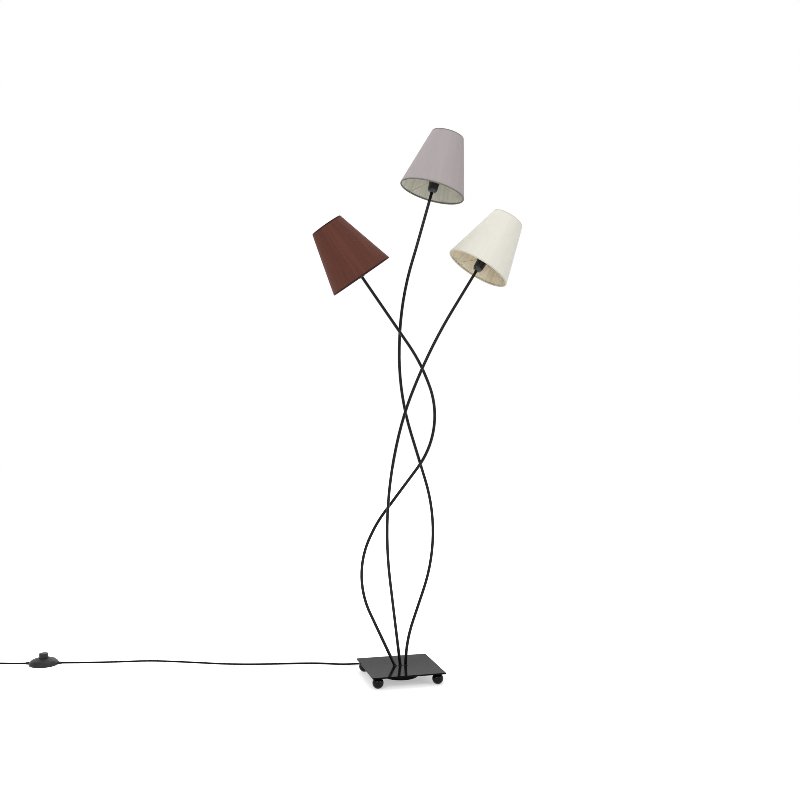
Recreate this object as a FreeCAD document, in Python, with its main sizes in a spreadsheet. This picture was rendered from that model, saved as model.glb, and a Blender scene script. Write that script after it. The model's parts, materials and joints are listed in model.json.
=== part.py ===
import FreeCAD, Part

import math
import os

import Sketcher
from FreeCAD import Placement, Rotation, Vector

# Tree floor lamp, millimetres. The origin is the middle of the four feet on the floor, +Z is up,
# +X runs along the front edge of the base plate and -Y is the front.

# ---------------------------------------------------------------------------------------------
# Driving dimensions: (name, value, what it is). They fill the spreadsheet.
# ---------------------------------------------------------------------------------------------

SIZES = (
    # base plate
    ("plate_width", 200.0, "base plate along X"),
    ("plate_depth", 200.0, "base plate along Y"),
    ("plate_thick", 4.0, "base plate thickness"),
    ("plate_corner", 2.0, "radius of the plate's corners"),
    ("plate_edge", 0.5, "chamfer along the plate's edges"),
    # ball feet
    ("foot_dia", 30.0, "ball foot"),
    ("foot_inset", 18.0, "plate edge to the middle of a foot"),
    ("foot_flat", 5.0, "diameter of the flat that a foot stands on"),
    ("foot_seat", 7.0, "diameter of the flat against the plate"),
    ("stud_dia", 5.0, "threaded stud in a foot"),
    ("stud_length", 14.0, "stud below the plate"),
    # dish under the plate
    ("dish_dia", 98.0, "wiring dish outside"),
    ("dish_height", 24.1, "wiring dish depth"),
    ("dish_wall", 1.2, "wiring dish sheet"),
    ("dish_bend", 4.0, "radius round the dish's bottom edge"),
    ("post_offset", 33.0, "middle of the lamp to a dish post"),
    ("post_dia", 8.0, "dish post"),
    ("screw_dia", 4.0, "dish screw shank"),
    ("screw_head_dia", 8.0, "dish screw head"),
    ("screw_head", 2.6, "height of a dish screw's head"),
    ("screw_grip", 9.0, "dish screw length in its post"),
    # terminal block
    ("block_length", 46.0, "terminal block along X"),
    ("block_width", 14.0, "terminal block along Y"),
    ("block_height", 9.0, "terminal block height"),
    ("block_screw_dia", 3.6, "terminal screw"),
    ("block_screw_pitch", 15.0, "terminal screws apart"),
    ("block_socket", 4.0, "depth of a lead's socket"),
    # where the cord leaves the dish
    ("exit_turn", 26.5, "cord's way out, degrees left of straight back"),
    ("grip_dia", 9.4, "cord grip barrel through the dish wall"),
    ("grip_flange_dia", 12.6, "cord grip flange and nut"),
    ("grip_flange", 2.2, "cord grip flange and nut thickness"),
    ("relief_length", 30.0, "strain relief"),
    ("relief_root_dia", 10.0, "strain relief at the dish"),
    ("relief_tip_dia", 7.0, "strain relief at its tip"),
    # cord
    ("cord_dia", 5.0, "round two-core cord"),
    ("cord_play", 0.3, "room round the cord in the grip, relief and switch"),
    # arms and the leads in them
    ("arm_dia", 8.0, "arm tube outside"),
    ("arm_wall", 1.0, "arm tube wall"),
    ("arm_pitch", 15.0, "arm holes apart, in a row along X"),
    ("arm_tail", 8.0, "arm below the plate's top, along its own run"),
    ("weld_gap", 0.05, "arm in its hole in the plate"),
    ("lead_dia", 4.4, "lead inside an arm"),
    # head, measured along its own axis from the holder's lower end
    ("holder_drop", 8.0, "holder's lower end below the shade's rim"),
    ("arm_in_holder", 14.0, "arm's end above the holder's lower end"),
    ("cap_length", 30.0, "holder's lower cap"),
    ("cap_dia", 28.0, "holder's lower cap at its top"),
    ("cap_waist_dia", 26.0, "holder's lower cap above its round"),
    ("cap_nose_dia", 20.0, "holder's lower cap at its lower end"),
    ("cap_nose_round", 3.0, "radius round the holder's lower end"),
    ("cap_waist", 9.0, "height of the holder's waist"),
    ("cap_floor", 12.0, "solid foot of the lower cap, round the arm"),
    ("cap_wall", 2.0, "wall of the holder's lower cap"),
    ("spigot", 4.0, "holder's body inside its lower cap"),
    ("shoulder_dia", 32.0, "shoulder that the shade's hub sits on"),
    ("shoulder_thick", 2.4, "shoulder thickness"),
    ("body_dia", 27.4, "holder's threaded body"),
    ("body_length", 34.0, "holder's body above its shoulder"),
    ("body_bore", 15.8, "holder's bore round the contacts"),
    ("body_floor", 4.0, "holder's floor above its shoulder's underside"),
    ("thread_pitch", 2.5, "coarse thread on the holder's body"),
    ("thread_depth", 0.7, "depth of that thread"),
    ("thread_turns", 11.0, "turns of that thread"),
    ("ring_dia", 40.0, "shade ring outside"),
    ("ring_thick", 5.5, "shade ring height"),
    ("ring_flange", 2.0, "shade ring's flange height"),
    ("ring_collar_dia", 33.0, "shade ring above its flange"),
    ("ring_play", 0.2, "shade ring round the body's thread"),
    ("hub_gap", 0.12, "shade hub to the shoulder and to the ring"),
    # contacts and bulb
    ("sleeve_dia", 15.6, "brass sleeve outside"),
    ("sleeve_wall", 0.6, "brass sleeve wall"),
    ("sleeve_length", 20.0, "brass sleeve"),
    ("contact_dia", 5.0, "middle contact"),
    ("contact_height", 3.0, "middle contact"),
    ("bulb_cap_dia", 13.8, "bulb's screw cap"),
    ("bulb_cap_length", 25.0, "bulb's screw cap"),
    ("bulb_dia", 35.0, "candle bulb"),
    ("bulb_length", 72.0, "bulb's glass"),
    ("bulb_tip_dia", 6.0, "bulb's blunt tip"),
    ("bulb_belly_round", 24.5, "radius round the bulb's belly"),
    ("bulb_shoulder_round", 35.0, "radius round the bulb's shoulder"),
    ("bulb_tip_round", 1.8, "radius round the bulb's tip"),
    # shade
    ("shade_bottom_dia", 180.0, "shade's lower edge, outside"),
    ("shade_top_dia", 90.0, "shade's upper edge, outside"),
    ("shade_height", 165.0, "shade along its axis"),
    ("shade_wall", 1.0, "fabric on its lining"),
    ("wire_dia", 2.4, "shade's ring wire"),
    ("spoke_dia", 2.0, "spider wire, thinner than the ring it is welded to"),
    ("wire_gap", 0.15, "shade's ring to its fabric"),
    ("hub_hole_dia", 28.0, "hole in the shade's hub"),
    ("hub_dia", 38.0, "shade's hub"),
    ("hub_thick", 1.8, "shade's hub"),
    ("spokes", 3.0, "spokes of the spider"),
    # foot switch
    ("switch_dia", 82.0, "foot switch"),
    ("switch_flange", 1.5, "foot switch base disc at its edge"),
    ("switch_spigot", 2.6, "foot switch base disc inside the cover"),
    ("switch_rim", 6.0, "top of the cover's straight rim above the floor"),
    ("switch_knee", 13.5, "height where the cover's slope eases"),
    ("switch_knee_dia", 68.0, "cover where its slope eases"),
    ("switch_top", 19.0, "top of the cover above the floor"),
    ("switch_rim_round", 6.0, "radius where the cover's rim turns into its slope"),
    ("switch_knee_round", 15.0, "radius where the cover's slope eases"),
    ("switch_top_round", 8.0, "radius where the cover turns flat"),
    ("switch_wall", 2.0, "cover wall"),
    ("switch_top_dia", 34.0, "flat on top of the cover"),
    ("switch_play", 0.3, "cover to base disc and button"),
    ("button_dia", 25.5, "foot button"),
    ("button_top", 32.0, "foot button's top above the floor"),
    ("button_wall", 4.0, "foot button's roof"),
    ("button_bore", 18.0, "foot button's bore"),
    ("button_round", 1.4, "radius round the foot button's top"),
    ("button_flange_dia", 30.0, "foot button's flange inside the cover"),
    ("button_flange", 2.0, "foot button's flange"),
    ("button_travel", 3.0, "foot button's way down"),
    ("contacts_length", 59.0, "switch's contact block"),
    ("contacts_width", 16.0, "switch's contact block"),
    ("contacts_height", 6.0, "switch's contact block"),
    ("spring_post_dia", 9.0, "post in the button's spring"),
    ("spring_dia", 13.0, "middle of the button spring's wire, across"),
    ("spring_wire", 1.0, "button spring's wire"),
    ("spring_turns", 6.0, "button spring's turns"),
    ("switch_screw_offset", 29.0, "middle of the switch to a screw"),
    ("switch_screw_dia", 3.0, "switch screw shank"),
    ("switch_screw_head_dia", 5.6, "switch screw head"),
    ("switch_screw_recess", 0.3, "switch screw's head above the disc's underside"),
    ("switch_screw_length", 7.0, "switch screw above the disc's underside"),
    ("switch_boss_dia", 7.0, "switch screw boss"),
    ("switch_port_height", 3.8, "cord's middle above the floor at the switch"),
    ("port_length", 9.0, "switch's strain relief outside the cover"),
    ("port_root_dia", 7.4, "switch's strain relief at the cover"),
    ("port_tip_dia", 6.6, "switch's strain relief at its tip"),
    # coil of the length that isn't laid out, and its tie
    ("coil_mid_dia", 55.0, "coil, middle of its turns"),
    ("coil_lift", 0.6, "coil above the floor, on its tie"),
    ("tie_width", 8.0, "tie across"),
    ("tie_thick", 0.5, "tie strip"),
    # plug
    ("plug_width", 35.0, "plug across its pins"),
    ("plug_thick", 13.8, "plug thickness"),
    ("plug_length", 36.0, "plug along its pins"),
    ("plug_round", 5.0, "plug's rounded edges"),
    ("plug_relief", 22.0, "plug's strain relief"),
    ("plug_relief_root_dia", 11.0, "plug's strain relief at the plug"),
    ("plug_relief_tip_dia", 7.0, "plug's strain relief at its tip"),
    ("pin_dia", 4.0, "plug pin"),
    ("pin_length", 19.0, "plug pin"),
    ("pin_pitch", 18.6, "plug pins apart"),
    ("pin_tip", 0.8, "chamfer on a pin's tip"),
)

# Each arm: which hole of the row it stands in, its bend points with their radii, the middle of its
# shade's lower rim, where its last straight run passes, and how much deeper than holder_drop its
# holder sits in that shade. The arms cross in front of each other.
ARMS = {
    "brown": {
        "hole": -1,
        "bends": (
            ((-128, 33, 282), 245),
            ((-59, 17, 427), 318),
            ((123, -26, 678), 237),
            ((48, -25, 863), 465),
        ),
        "rim": (-110, -13, 1088),
        "deeper": 5.5,
    },
    "cream": {
        "hole": 0,
        "bends": (((-52, -4, 448), 1112), ((1, -24, 717), 866), ((77, -42, 908), 1100)),
        "rim": (207, -42, 1115),
        "deeper": 0.0,
    },
    "grey": {
        "hole": 1,
        "bends": (
            ((15, -3, 97), 350),
            ((116, -8, 388), 483),
            ((-3, 10, 780), 722),
            ((-3, -13, 1027), 779),
            ((38, -21, 1165), 550),
        ),
        "rim": (85, -15, 1323),
        "deeper": 5.5,
    },
}

# The foot switch's middle on the floor, and its turn about +Z in degrees.
SWITCH_AT = (-953, 384)
SWITCH_TURN = -11.0

# The cord, chosen by hand. Where it leaves the lamp and where it meets the switch are worked out
# from their sizes, so these lists leave those points out.
CORD_TO_SWITCH = (
    (-62, 119, 11.5),
    (-90, 149, 4.2),
    (-135, 161.5, 2.5),
    (-189, 189, 2.5),
    (-255, 204, 2.5),
    (-321, 214, 2.5),
    (-392, 229, 2.5),
    (-459, 251, 2.5),
    (-526, 282, 2.5),
    (-593, 312, 2.5),
    (-659, 338, 2.5),
    (-725, 346, 2.5),
    (-775, 352.5, 2.5),
    (-829, 362.5, 2.6),
)
CORD_TO_COIL = (
    (-1074, 417, 2.6),
    (-1118, 430, 3.1),
)
# The coil's middle, and the cord's tail from the coil to the plug.
COIL_AT = (-1140, 402)
CORD_TO_PLUG = (
    (-1174, 390, 7.4),
    (-1182, 361, 6.9),
    (-1191, 336, 6.9),
)
# Share of a run that the arc at its end takes, on the cord.
CORD_EASE = 0.45
# Candle bulb, as shares of its glass: how far up its belly and its shoulder are, and how far out
# its shoulder is.
BELLY_UP = 0.4
SHOULDER_UP = 0.7
SHOULDER_OUT = 0.72
# Middle of a spoke's end below the hub's top, in spoke radii.
SPOKE_SINK = 1.2
# The worked out points: (distance from the lamp's or the switch's middle, height over the hole's
# middle). The cord is all but straight as far as the last of them.
CORD_LEAVES_LAMP = ((50.0, 0.1), (99.0, -0.1))
CORD_MEETS_SWITCH = (70.0, -0.3)

doc = FreeCAD.newDocument("tree_floor_lamp")
sheet = doc.addObject("Spreadsheet::Sheet", "Sizes")
for row, (alias, value, note) in enumerate(SIZES, start=1):
    sheet.set("A%d" % row, note)
    sheet.set("B%d" % row, repr(value))
    sheet.setAlias("B%d" % row, alias)
doc.recompute()

NODES = []
ORIGIN = Vector(0, 0, 0)
UP = Vector(0, 0, 1)


# ---------------------------------------------------------------------------------------------
# Sizes: each formula is written once and gives both a value and an expression over the sheet
# ---------------------------------------------------------------------------------------------


class Dim:
    """A length with its value and the text that binds a property to the sheet."""

    def __init__(self, value, text):
        self.value = value
        self.text = text

    def __float__(self):
        return float(self.value)

    def __add__(self, other):
        return Dim(float(self) + float(other), "(%s + %s)" % (self.text, as_text(other)))

    def __sub__(self, other):
        return Dim(float(self) - float(other), "(%s - %s)" % (self.text, as_text(other)))

    def __mul__(self, other):
        return Dim(float(self) * float(other), "(%s * %s)" % (self.text, as_text(other)))

    def __truediv__(self, other):
        return Dim(float(self) / float(other), "(%s / %s)" % (self.text, as_text(other)))

    def __neg__(self):
        return self * -1.0


def as_text(length):
    return length.text if isinstance(length, Dim) else repr(float(length))


def root(length):
    """The square root of a Dim."""
    return Dim(math.sqrt(float(length)), "sqrt(%s)" % length.text)


class Named:
    """The sheet's names as Dims: S.plate_width and so on."""


S = Named()
for alias, _value, _note in SIZES:
    setattr(S, alias, Dim(float(sheet.get(alias)), "Sizes." + alias))

NONE = Dim(0.0, "0")


# ---------------------------------------------------------------------------------------------
# Helpers
# ---------------------------------------------------------------------------------------------


def bind(thing, **lengths):
    """Bind properties to the sheet, or set them where a length is a plain number."""
    for name, length in lengths.items():
        if isinstance(length, Dim):
            thing.setExpression(name, length.text)
        else:
            setattr(thing, name, length)
    return thing


def at(thing, place=ORIGIN, rotation=None, **moves):
    """Place a thing; moves are x, y and z lengths bound to the sheet."""
    thing.Placement = Placement(place, rotation or Rotation())
    for axis, length in moves.items():
        thing.setExpression(".Placement.Base." + axis, as_text(length))
    return thing


def along(direction):
    """The rotation that turns +Z to a direction."""
    return Rotation(UP, direction)


def cylinder(name, radius, height):
    return bind(doc.addObject("Part::Cylinder", name), Radius=radius, Height=height)


def cone(name, radius1, radius2, height):
    thing = doc.addObject("Part::Cone", name)
    return bind(thing, Radius1=radius1, Radius2=radius2, Height=height)


def box(name, length, width, height):
    return bind(doc.addObject("Part::Box", name), Length=length, Width=width, Height=height)


def torus(name, radius, wire_radius):
    return bind(doc.addObject("Part::Torus", name), Radius1=radius, Radius2=wire_radius)


def cut(name, base, tool):
    thing = doc.addObject("Part::Cut", name)
    thing.Base = base
    thing.Tool = tool
    return thing


def fuse(name, shapes):
    thing = doc.addObject("Part::MultiFuse", name)
    thing.Shapes = shapes
    return thing


def group(name, shapes):
    """Separate solids that share one node."""
    thing = doc.addObject("Part::Compound", name)
    thing.Links = shapes
    return thing


def node(thing, label):
    """Count a thing as a sub-part; its label names its file."""
    thing.Label = label
    NODES.append(thing)
    return thing


def origin_plane(body, role):
    return next(plane for plane in body.Origin.OriginFeatures if plane.Role == role)


def tie_point(sketch, line, axis, length):
    """Hold the start of a line at a bound distance from the sketch's origin."""
    if float(length) == 0.0:
        # on the vertical axis (-2) for X, on the horizontal one (-1) for Y
        sketch.addConstraint(Sketcher.Constraint("PointOnObject", line, 1, -2 if axis == "X" else -1))
        return
    held = Sketcher.Constraint("Distance" + axis, -1, 1, line, 1, float(length))
    number = sketch.addConstraint(held)
    if isinstance(length, Dim):
        sketch.setExpression("Constraints[%d]" % number, length.text)


def outline(body, name, plane, corners):
    """A closed sketch of straight lines whose corners are bound to the sheet."""
    sketch = body.newObject("Sketcher::SketchObject", name)
    sketch.AttachmentSupport = (origin_plane(body, plane), [""])
    sketch.MapMode = "FlatFace"
    points = [Vector(float(across), float(up), 0) for across, up in corners]
    for index, point in enumerate(points):
        sketch.addGeometry(Part.LineSegment(point, points[(index + 1) % len(points)]))
    for index in range(len(points)):
        following = (index + 1) % len(points)
        sketch.addConstraint(Sketcher.Constraint("Coincident", index, 2, following, 1))
    for index, (across, up) in enumerate(corners):
        tie_point(sketch, index, "X", across)
        tie_point(sketch, index, "Y", up)
    return sketch


def ring_edges(shape, radius, height):
    """The names of the circles about Z with this radius at this height."""
    found = []
    for number, edge in enumerate(shape.Edges, start=1):
        if not isinstance(edge.Curve, Part.Circle):
            continue
        same_radius = abs(edge.Curve.Radius - float(radius)) < 1e-4
        if same_radius and abs(edge.Curve.Center.z - float(height)) < 1e-4:
            found.append("Edge%d" % number)
    return found


def turned(name, corners, rounds=()):
    """A body turned about Z from corners (radius, height). rounds are (corner, fillet radius)."""
    body = doc.addObject("PartDesign::Body", name)
    sketch = outline(body, name + "_profile", "XZ_Plane", corners)
    turn = body.newObject("PartDesign::Revolution", name + "_turn")
    turn.Profile = sketch
    turn.ReferenceAxis = (sketch, ["V_Axis"])
    turn.Angle = 360
    sketch.Visibility = False
    doc.recompute()
    last = turn
    for corner, radius in rounds:
        fillet = body.newObject("PartDesign::Fillet", "%s_round_%d" % (name, corner))
        fillet.Base = (last, ring_edges(last.Shape, *corners[corner]))
        bind(fillet, Radius=radius)
        doc.recompute()
        last = fillet
    return body


def vector(point):
    return Vector(*[float(number) for number in point])


def eased(points, radii=None, ease=CORD_EASE):
    """A wire of straight runs joined by tangent arcs, and the arcs' radii.

    An arc has the radius given for its bend or else takes the same share of the shorter run."""
    edges = []
    used = []
    here = points[0]
    for index in range(1, len(points) - 1):
        corner = points[index]
        back = points[index - 1] - corner
        ahead = points[index + 1] - corner
        half_turn = (math.pi - back.getAngle(ahead)) / 2
        shorter = min(back.Length, ahead.Length)
        radius = radii[index - 1] if radii else ease * shorter / math.tan(half_turn)
        reach = radius * math.tan(half_turn)
        back.normalize()
        ahead.normalize()
        inward = (back + ahead).normalize()
        start = corner + back * reach
        end = corner + ahead * reach
        middle = corner + inward * (radius / math.cos(half_turn) - radius)
        edges.append(Part.LineSegment(here, start).toShape())
        edges.append(Part.Arc(start, middle, end).toShape())
        used.append(radius)
        here = end
    edges.append(Part.LineSegment(here, points[-1]).toShape())
    return Part.Wire(edges), used


def tube(name, points, radius, radii=None):
    """A solid round bar along a path of runs and arcs."""
    wire, used = eased(points, radii)
    path = doc.addObject("Part::Feature", name + "_path")
    path.Shape = wire
    section = bind(doc.addObject("Part::Circle", name + "_section"), Radius=radius)
    at(section, points[0], along(points[1] - points[0]))
    sweep = doc.addObject("Part::Sweep", name)
    sweep.Sections = [section]
    sweep.Spine = (path, ["Edge%d" % (number + 1) for number in range(len(wire.Edges))])
    sweep.Solid = True
    sweep.Frenet = False
    return sweep, wire, used


def check_bar(label, thing, length, area, used):
    """Print a bar's length and radii, and stop if its volume isn't its section times its length."""
    doc.recompute()
    if not thing.Shape.isValid():
        raise ValueError("%s isn't valid" % label)
    expected = area * length
    if abs(thing.Shape.Volume - expected) > 0.002 * expected:
        raise ValueError("%s holds %.0f, not %.0f mm3" % (label, thing.Shape.Volume, expected))
    radii = ", ".join("%.0f" % radius for radius in used)
    print("%s: %.0f mm long, radii %s" % (label, length, radii))


def disc_area(diameter):
    return math.pi * float(diameter) ** 2 / 4


# ---------------------------------------------------------------------------------------------
# Base: ball feet, studs and plate
# ---------------------------------------------------------------------------------------------

foot_radius = S.foot_dia / 2
foot_middle = root(foot_radius * foot_radius - S.foot_flat * S.foot_flat / 4)
plate_under = foot_middle + root(foot_radius * foot_radius - S.foot_seat * S.foot_seat / 4)
plate_top = plate_under + S.plate_thick
foot_x = S.plate_width / 2 - S.foot_inset
foot_y = S.plate_depth / 2 - S.foot_inset
CORNERS = {
    "front_left": (-1, -1),
    "front_right": (1, -1),
    "back_left": (-1, 1),
    "back_right": (1, 1),
}


def arm_course(arm):
    """An arm's hole on top of the plate, its bends, its rim point, and its first and last way."""
    start = Vector(arm["hole"] * float(S.arm_pitch), 0, float(plate_top))
    bends = [vector(point) for point, _radius in arm["bends"]]
    radii = [float(radius) for _point, radius in arm["bends"]]
    rim = vector(arm["rim"])
    first = (bends[0] - start).normalize()
    last = (rim - bends[-1]).normalize()
    return start, bends, radii, rim, first, last


def make_foot(corner, side_x, side_y):
    ball = bind(doc.addObject("Part::Sphere", "ball_" + corner), Radius=foot_radius)
    at(ball, z=foot_middle)
    slab = box("slab_" + corner, S.foot_dia, S.foot_dia, plate_under)
    at(slab, x=-foot_radius, y=-foot_radius)
    flat = doc.addObject("Part::Common", "flat_" + corner)
    flat.Base = ball
    flat.Tool = slab
    bore = cylinder("bore_" + corner, S.stud_dia / 2 + S.weld_gap, S.stud_length + S.weld_gap)
    at(bore, z=plate_under - S.stud_length - S.weld_gap)
    foot = cut("foot_" + corner, flat, bore)
    at(foot, x=foot_x * side_x, y=foot_y * side_y)
    node(foot, "foot_" + corner)


def make_studs():
    studs = []
    for corner, (side_x, side_y) in CORNERS.items():
        stud = cylinder("stud_" + corner, S.stud_dia / 2, S.stud_length)
        studs.append(at(stud, x=foot_x * side_x, y=foot_y * side_y, z=plate_under - S.stud_length))
    node(group("studs", studs), "foot_studs")


def make_plate():
    body = doc.addObject("PartDesign::Body", "plate_sheet")
    half_x = S.plate_width / 2
    half_y = S.plate_depth / 2
    corners = ((-half_x, -half_y), (half_x, -half_y), (half_x, half_y), (-half_x, half_y))
    sketch = outline(body, "plate_outline", "XY_Plane", corners)
    pad = body.newObject("PartDesign::Pad", "plate_pad")
    pad.Profile = sketch
    bind(pad, Length=S.plate_thick)
    sketch.Visibility = False
    doc.recompute()
    upright = [
        "Edge%d" % number
        for number, edge in enumerate(pad.Shape.Edges, start=1)
        if abs(edge.tangentAt(edge.FirstParameter).z) > 0.9
    ]
    rounds = body.newObject("PartDesign::Fillet", "plate_corners")
    rounds.Base = (pad, upright)
    bind(rounds, Radius=S.plate_corner)
    doc.recompute()
    rims = [
        "Face%d" % number
        for number, face in enumerate(rounds.Shape.Faces, start=1)
        if abs(face.normalAt(0, 0).z) > 0.9
    ]
    edge = body.newObject("PartDesign::Chamfer", "plate_edge")
    edge.Base = (rounds, rims)
    bind(edge, Size=S.plate_edge)
    at(body, z=plate_under)
    drills = []
    for name, arm in ARMS.items():
        start, _bends, _radii, _rim, first, _last = arm_course(arm)
        drill = cylinder("drill_" + name, S.arm_dia / 2 + S.weld_gap, S.plate_thick * 4)
        at(drill, start - first * float(S.plate_thick) * 2, along(first))
        drills.append(drill)
    node(cut("plate", body, group("drills", drills)), "base_plate")


# ---------------------------------------------------------------------------------------------
# Dish under the plate, with what it holds
# ---------------------------------------------------------------------------------------------

dish_under = plate_under - S.dish_height
dish_floor = dish_under + S.dish_wall
block_top = dish_floor + S.block_height
exit_height = dish_under + S.dish_bend + S.grip_flange_dia / 2
exit_way = Vector(
    -math.sin(math.radians(float(S.exit_turn))), math.cos(math.radians(float(S.exit_turn))), 0
)


def along_exit(distance, lift=0.0):
    """A point on the cord's way out, this far from the lamp's middle."""
    return exit_way * float(distance) + UP * (float(exit_height) + lift)


def make_dish():
    dish_radius = S.dish_dia / 2
    shell = turned(
        "dish_shell",
        (
            (NONE, dish_under),
            (dish_radius, dish_under),
            (dish_radius, plate_under),
            (dish_radius - S.dish_wall, plate_under),
            (dish_radius - S.dish_wall, dish_floor),
            (NONE, dish_floor),
        ),
        rounds=((1, S.dish_bend), (4, S.dish_bend - S.dish_wall)),
    )
    hole = cylinder("dish_grip_hole", S.grip_dia / 2 + S.weld_gap, dish_radius)
    at(hole, along_exit(dish_radius / 2), along(exit_way))
    tools = [hole]
    for side in (-1, 1):
        screw_hole = cylinder("dish_screw_hole_%d" % (side + 1), S.screw_dia / 2 + S.weld_gap, dish_floor)
        tools.append(at(screw_hole, x=S.post_offset * side, z=NONE))
    node(cut("dish", shell, group("dish_holes", tools)), "wiring_dish")


def make_posts():
    posts = []
    screws = []
    for side in (-1, 1):
        spot = S.post_offset * side
        post = cylinder("post_%d" % (side + 1), S.post_dia / 2, plate_under - dish_floor)
        bore = cylinder("post_bore_%d" % (side + 1), S.screw_dia / 2 + S.weld_gap, S.screw_grip)
        hollow = cut("post_tube_%d" % (side + 1), post, bore)
        posts.append(at(hollow, x=spot, z=dish_floor))
        head = cylinder("screw_head_%d" % (side + 1), S.screw_head_dia / 2, S.screw_head)
        at(head, x=spot, z=dish_under - S.screw_head)
        shank = cylinder("screw_shank_%d" % (side + 1), S.screw_dia / 2, S.screw_grip)
        at(shank, x=spot, z=dish_under)
        screws.append(fuse("screw_%d" % (side + 1), [head, shank]))
    node(group("posts", posts), "dish_posts")
    node(group("screws", screws), "dish_screws")


def lead_start(start, first):
    """Where an arm's lead ends in its socket of the terminal block."""
    depth = float(plate_top) - (float(block_top) - float(S.block_socket) + float(S.lead_dia) / 4)
    return start - first * (depth / first.z)


def make_terminal_block():
    block = box("block", S.block_length, S.block_width, S.block_height)
    at(block, x=-S.block_length / 2, y=-S.block_width / 2, z=dish_floor)
    tools = []
    for name, arm in ARMS.items():
        start, _bends, _radii, _rim, first, _last = arm_course(arm)
        socket = cylinder("socket_" + name, S.lead_dia / 2 + S.cord_play / 2, S.block_height)
        at(socket, lead_start(start, first) - first * float(S.cord_play), along(first))
        tools.append(socket)
    screws = []
    for index in (-1, 0, 1):
        recess = cylinder("terminal_hole_%d" % (index + 1), S.block_screw_dia / 2, S.block_width / 4)
        screw = cylinder("terminal_%d" % (index + 1), S.block_screw_dia / 2, S.block_width / 4)
        for thing in (recess, screw):
            at(thing, rotation=along(Vector(0, -1, 0)), x=S.block_screw_pitch * index)
            thing.setExpression(".Placement.Base.y", (-S.block_width / 4).text)
            thing.setExpression(".Placement.Base.z", (dish_floor + S.block_height / 3).text)
        tools.append(recess)
        screws.append(screw)
    node(cut("terminal_body", block, group("block_holes", tools)), "terminal_block")
    node(group("terminal_screw_set", screws), "terminal_screws")


def make_cord_exit():
    """The grip in the dish wall, and the tapered strain relief outside it."""
    wall = S.dish_dia / 2
    half_nut = S.grip_flange_dia / 2
    inner = wall - S.dish_wall
    nut_face = root(inner * inner - half_nut * half_nut)
    barrel = cylinder("grip_barrel", S.grip_dia / 2, wall - nut_face)
    at(barrel, along_exit(nut_face), along(exit_way))
    flange = cylinder("grip_flange_disc", half_nut, S.grip_flange)
    at(flange, along_exit(wall), along(exit_way))
    nut = cylinder("grip_nut", half_nut, S.grip_flange)
    at(nut, along_exit(nut_face - S.grip_flange), along(exit_way))
    whole = fuse("grip_solid", [barrel, flange, nut])
    bore = cylinder("grip_bore", S.cord_dia / 2 + S.cord_play, wall)
    at(bore, along_exit(wall / 2), along(exit_way))
    node(cut("grip", whole, bore), "cord_grip")
    taper = cone("relief_taper", S.relief_root_dia / 2, S.relief_tip_dia / 2, S.relief_length)
    hole = cylinder("relief_bore", S.cord_dia / 2 + S.cord_play, S.relief_length)
    relief = cut("relief", taper, hole)
    at(relief, along_exit(wall + S.grip_flange), along(exit_way))
    node(relief, "cord_relief")


# ---------------------------------------------------------------------------------------------
# Arms and the leads in them
# ---------------------------------------------------------------------------------------------


def holder_drop(arm):
    """How far an arm's holder reaches below the rim of its shade."""
    return S.holder_drop - arm["deeper"]


def make_arm(name, arm):
    start, bends, radii, rim, first, last = arm_course(arm)
    foot = start - first * float(S.arm_tail)
    drop = holder_drop(arm)
    end = rim + last * float(S.arm_in_holder - drop)
    outside, wire, used = tube("arm_outside_" + name, [foot] + bends + [end], S.arm_dia / 2, radii)
    longer = [foot - first] + bends + [end + last]
    inside, _wire, _used = tube("arm_inside_" + name, longer, S.arm_dia / 2 - S.arm_wall, radii)
    hollow = cut("arm_tube_" + name, outside, inside)
    node(hollow, "arm_" + name)
    ring = disc_area(S.arm_dia) - disc_area(S.arm_dia - S.arm_wall * 2)
    check_bar("arm_" + name, hollow, wire.Length, ring, used)
    lead_end = rim + last * float(S.cap_length - S.spigot - drop)
    lead_points = [lead_start(start, first)] + bends + [lead_end]
    lead, wire, used = tube("arm_lead_" + name, lead_points, S.lead_dia / 2, radii)
    node(lead, "lead_" + name)
    check_bar("lead_" + name, lead, wire.Length, disc_area(S.lead_dia), used)


# ---------------------------------------------------------------------------------------------
# Heads: each is built along +Z from the lower end of its holder, then set on its arm
# ---------------------------------------------------------------------------------------------

body_foot = S.cap_length
shoulder_top = body_foot + S.shoulder_thick
hub_under = shoulder_top + S.hub_gap
hub_top = hub_under + S.hub_thick
ring_under = hub_top + S.hub_gap
body_floor_top = body_foot + S.body_floor
body_top = body_foot + S.body_length
bulb_foot = body_floor_top + S.contact_height
glass_foot = bulb_foot + S.bulb_cap_length
shade_lean = (S.shade_bottom_dia - S.shade_top_dia) / 2 / S.shade_height
shade_slant = root(shade_lean * shade_lean + 1)


def shade_ring_radius(above_rim):
    """Radius of a wire ring that lies just inside the shade, this far above its lower rim."""
    shade_inside = S.shade_bottom_dia / 2 - S.shade_wall - above_rim * shade_lean
    return shade_inside - S.wire_dia / 2 * shade_slant - S.wire_gap


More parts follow.
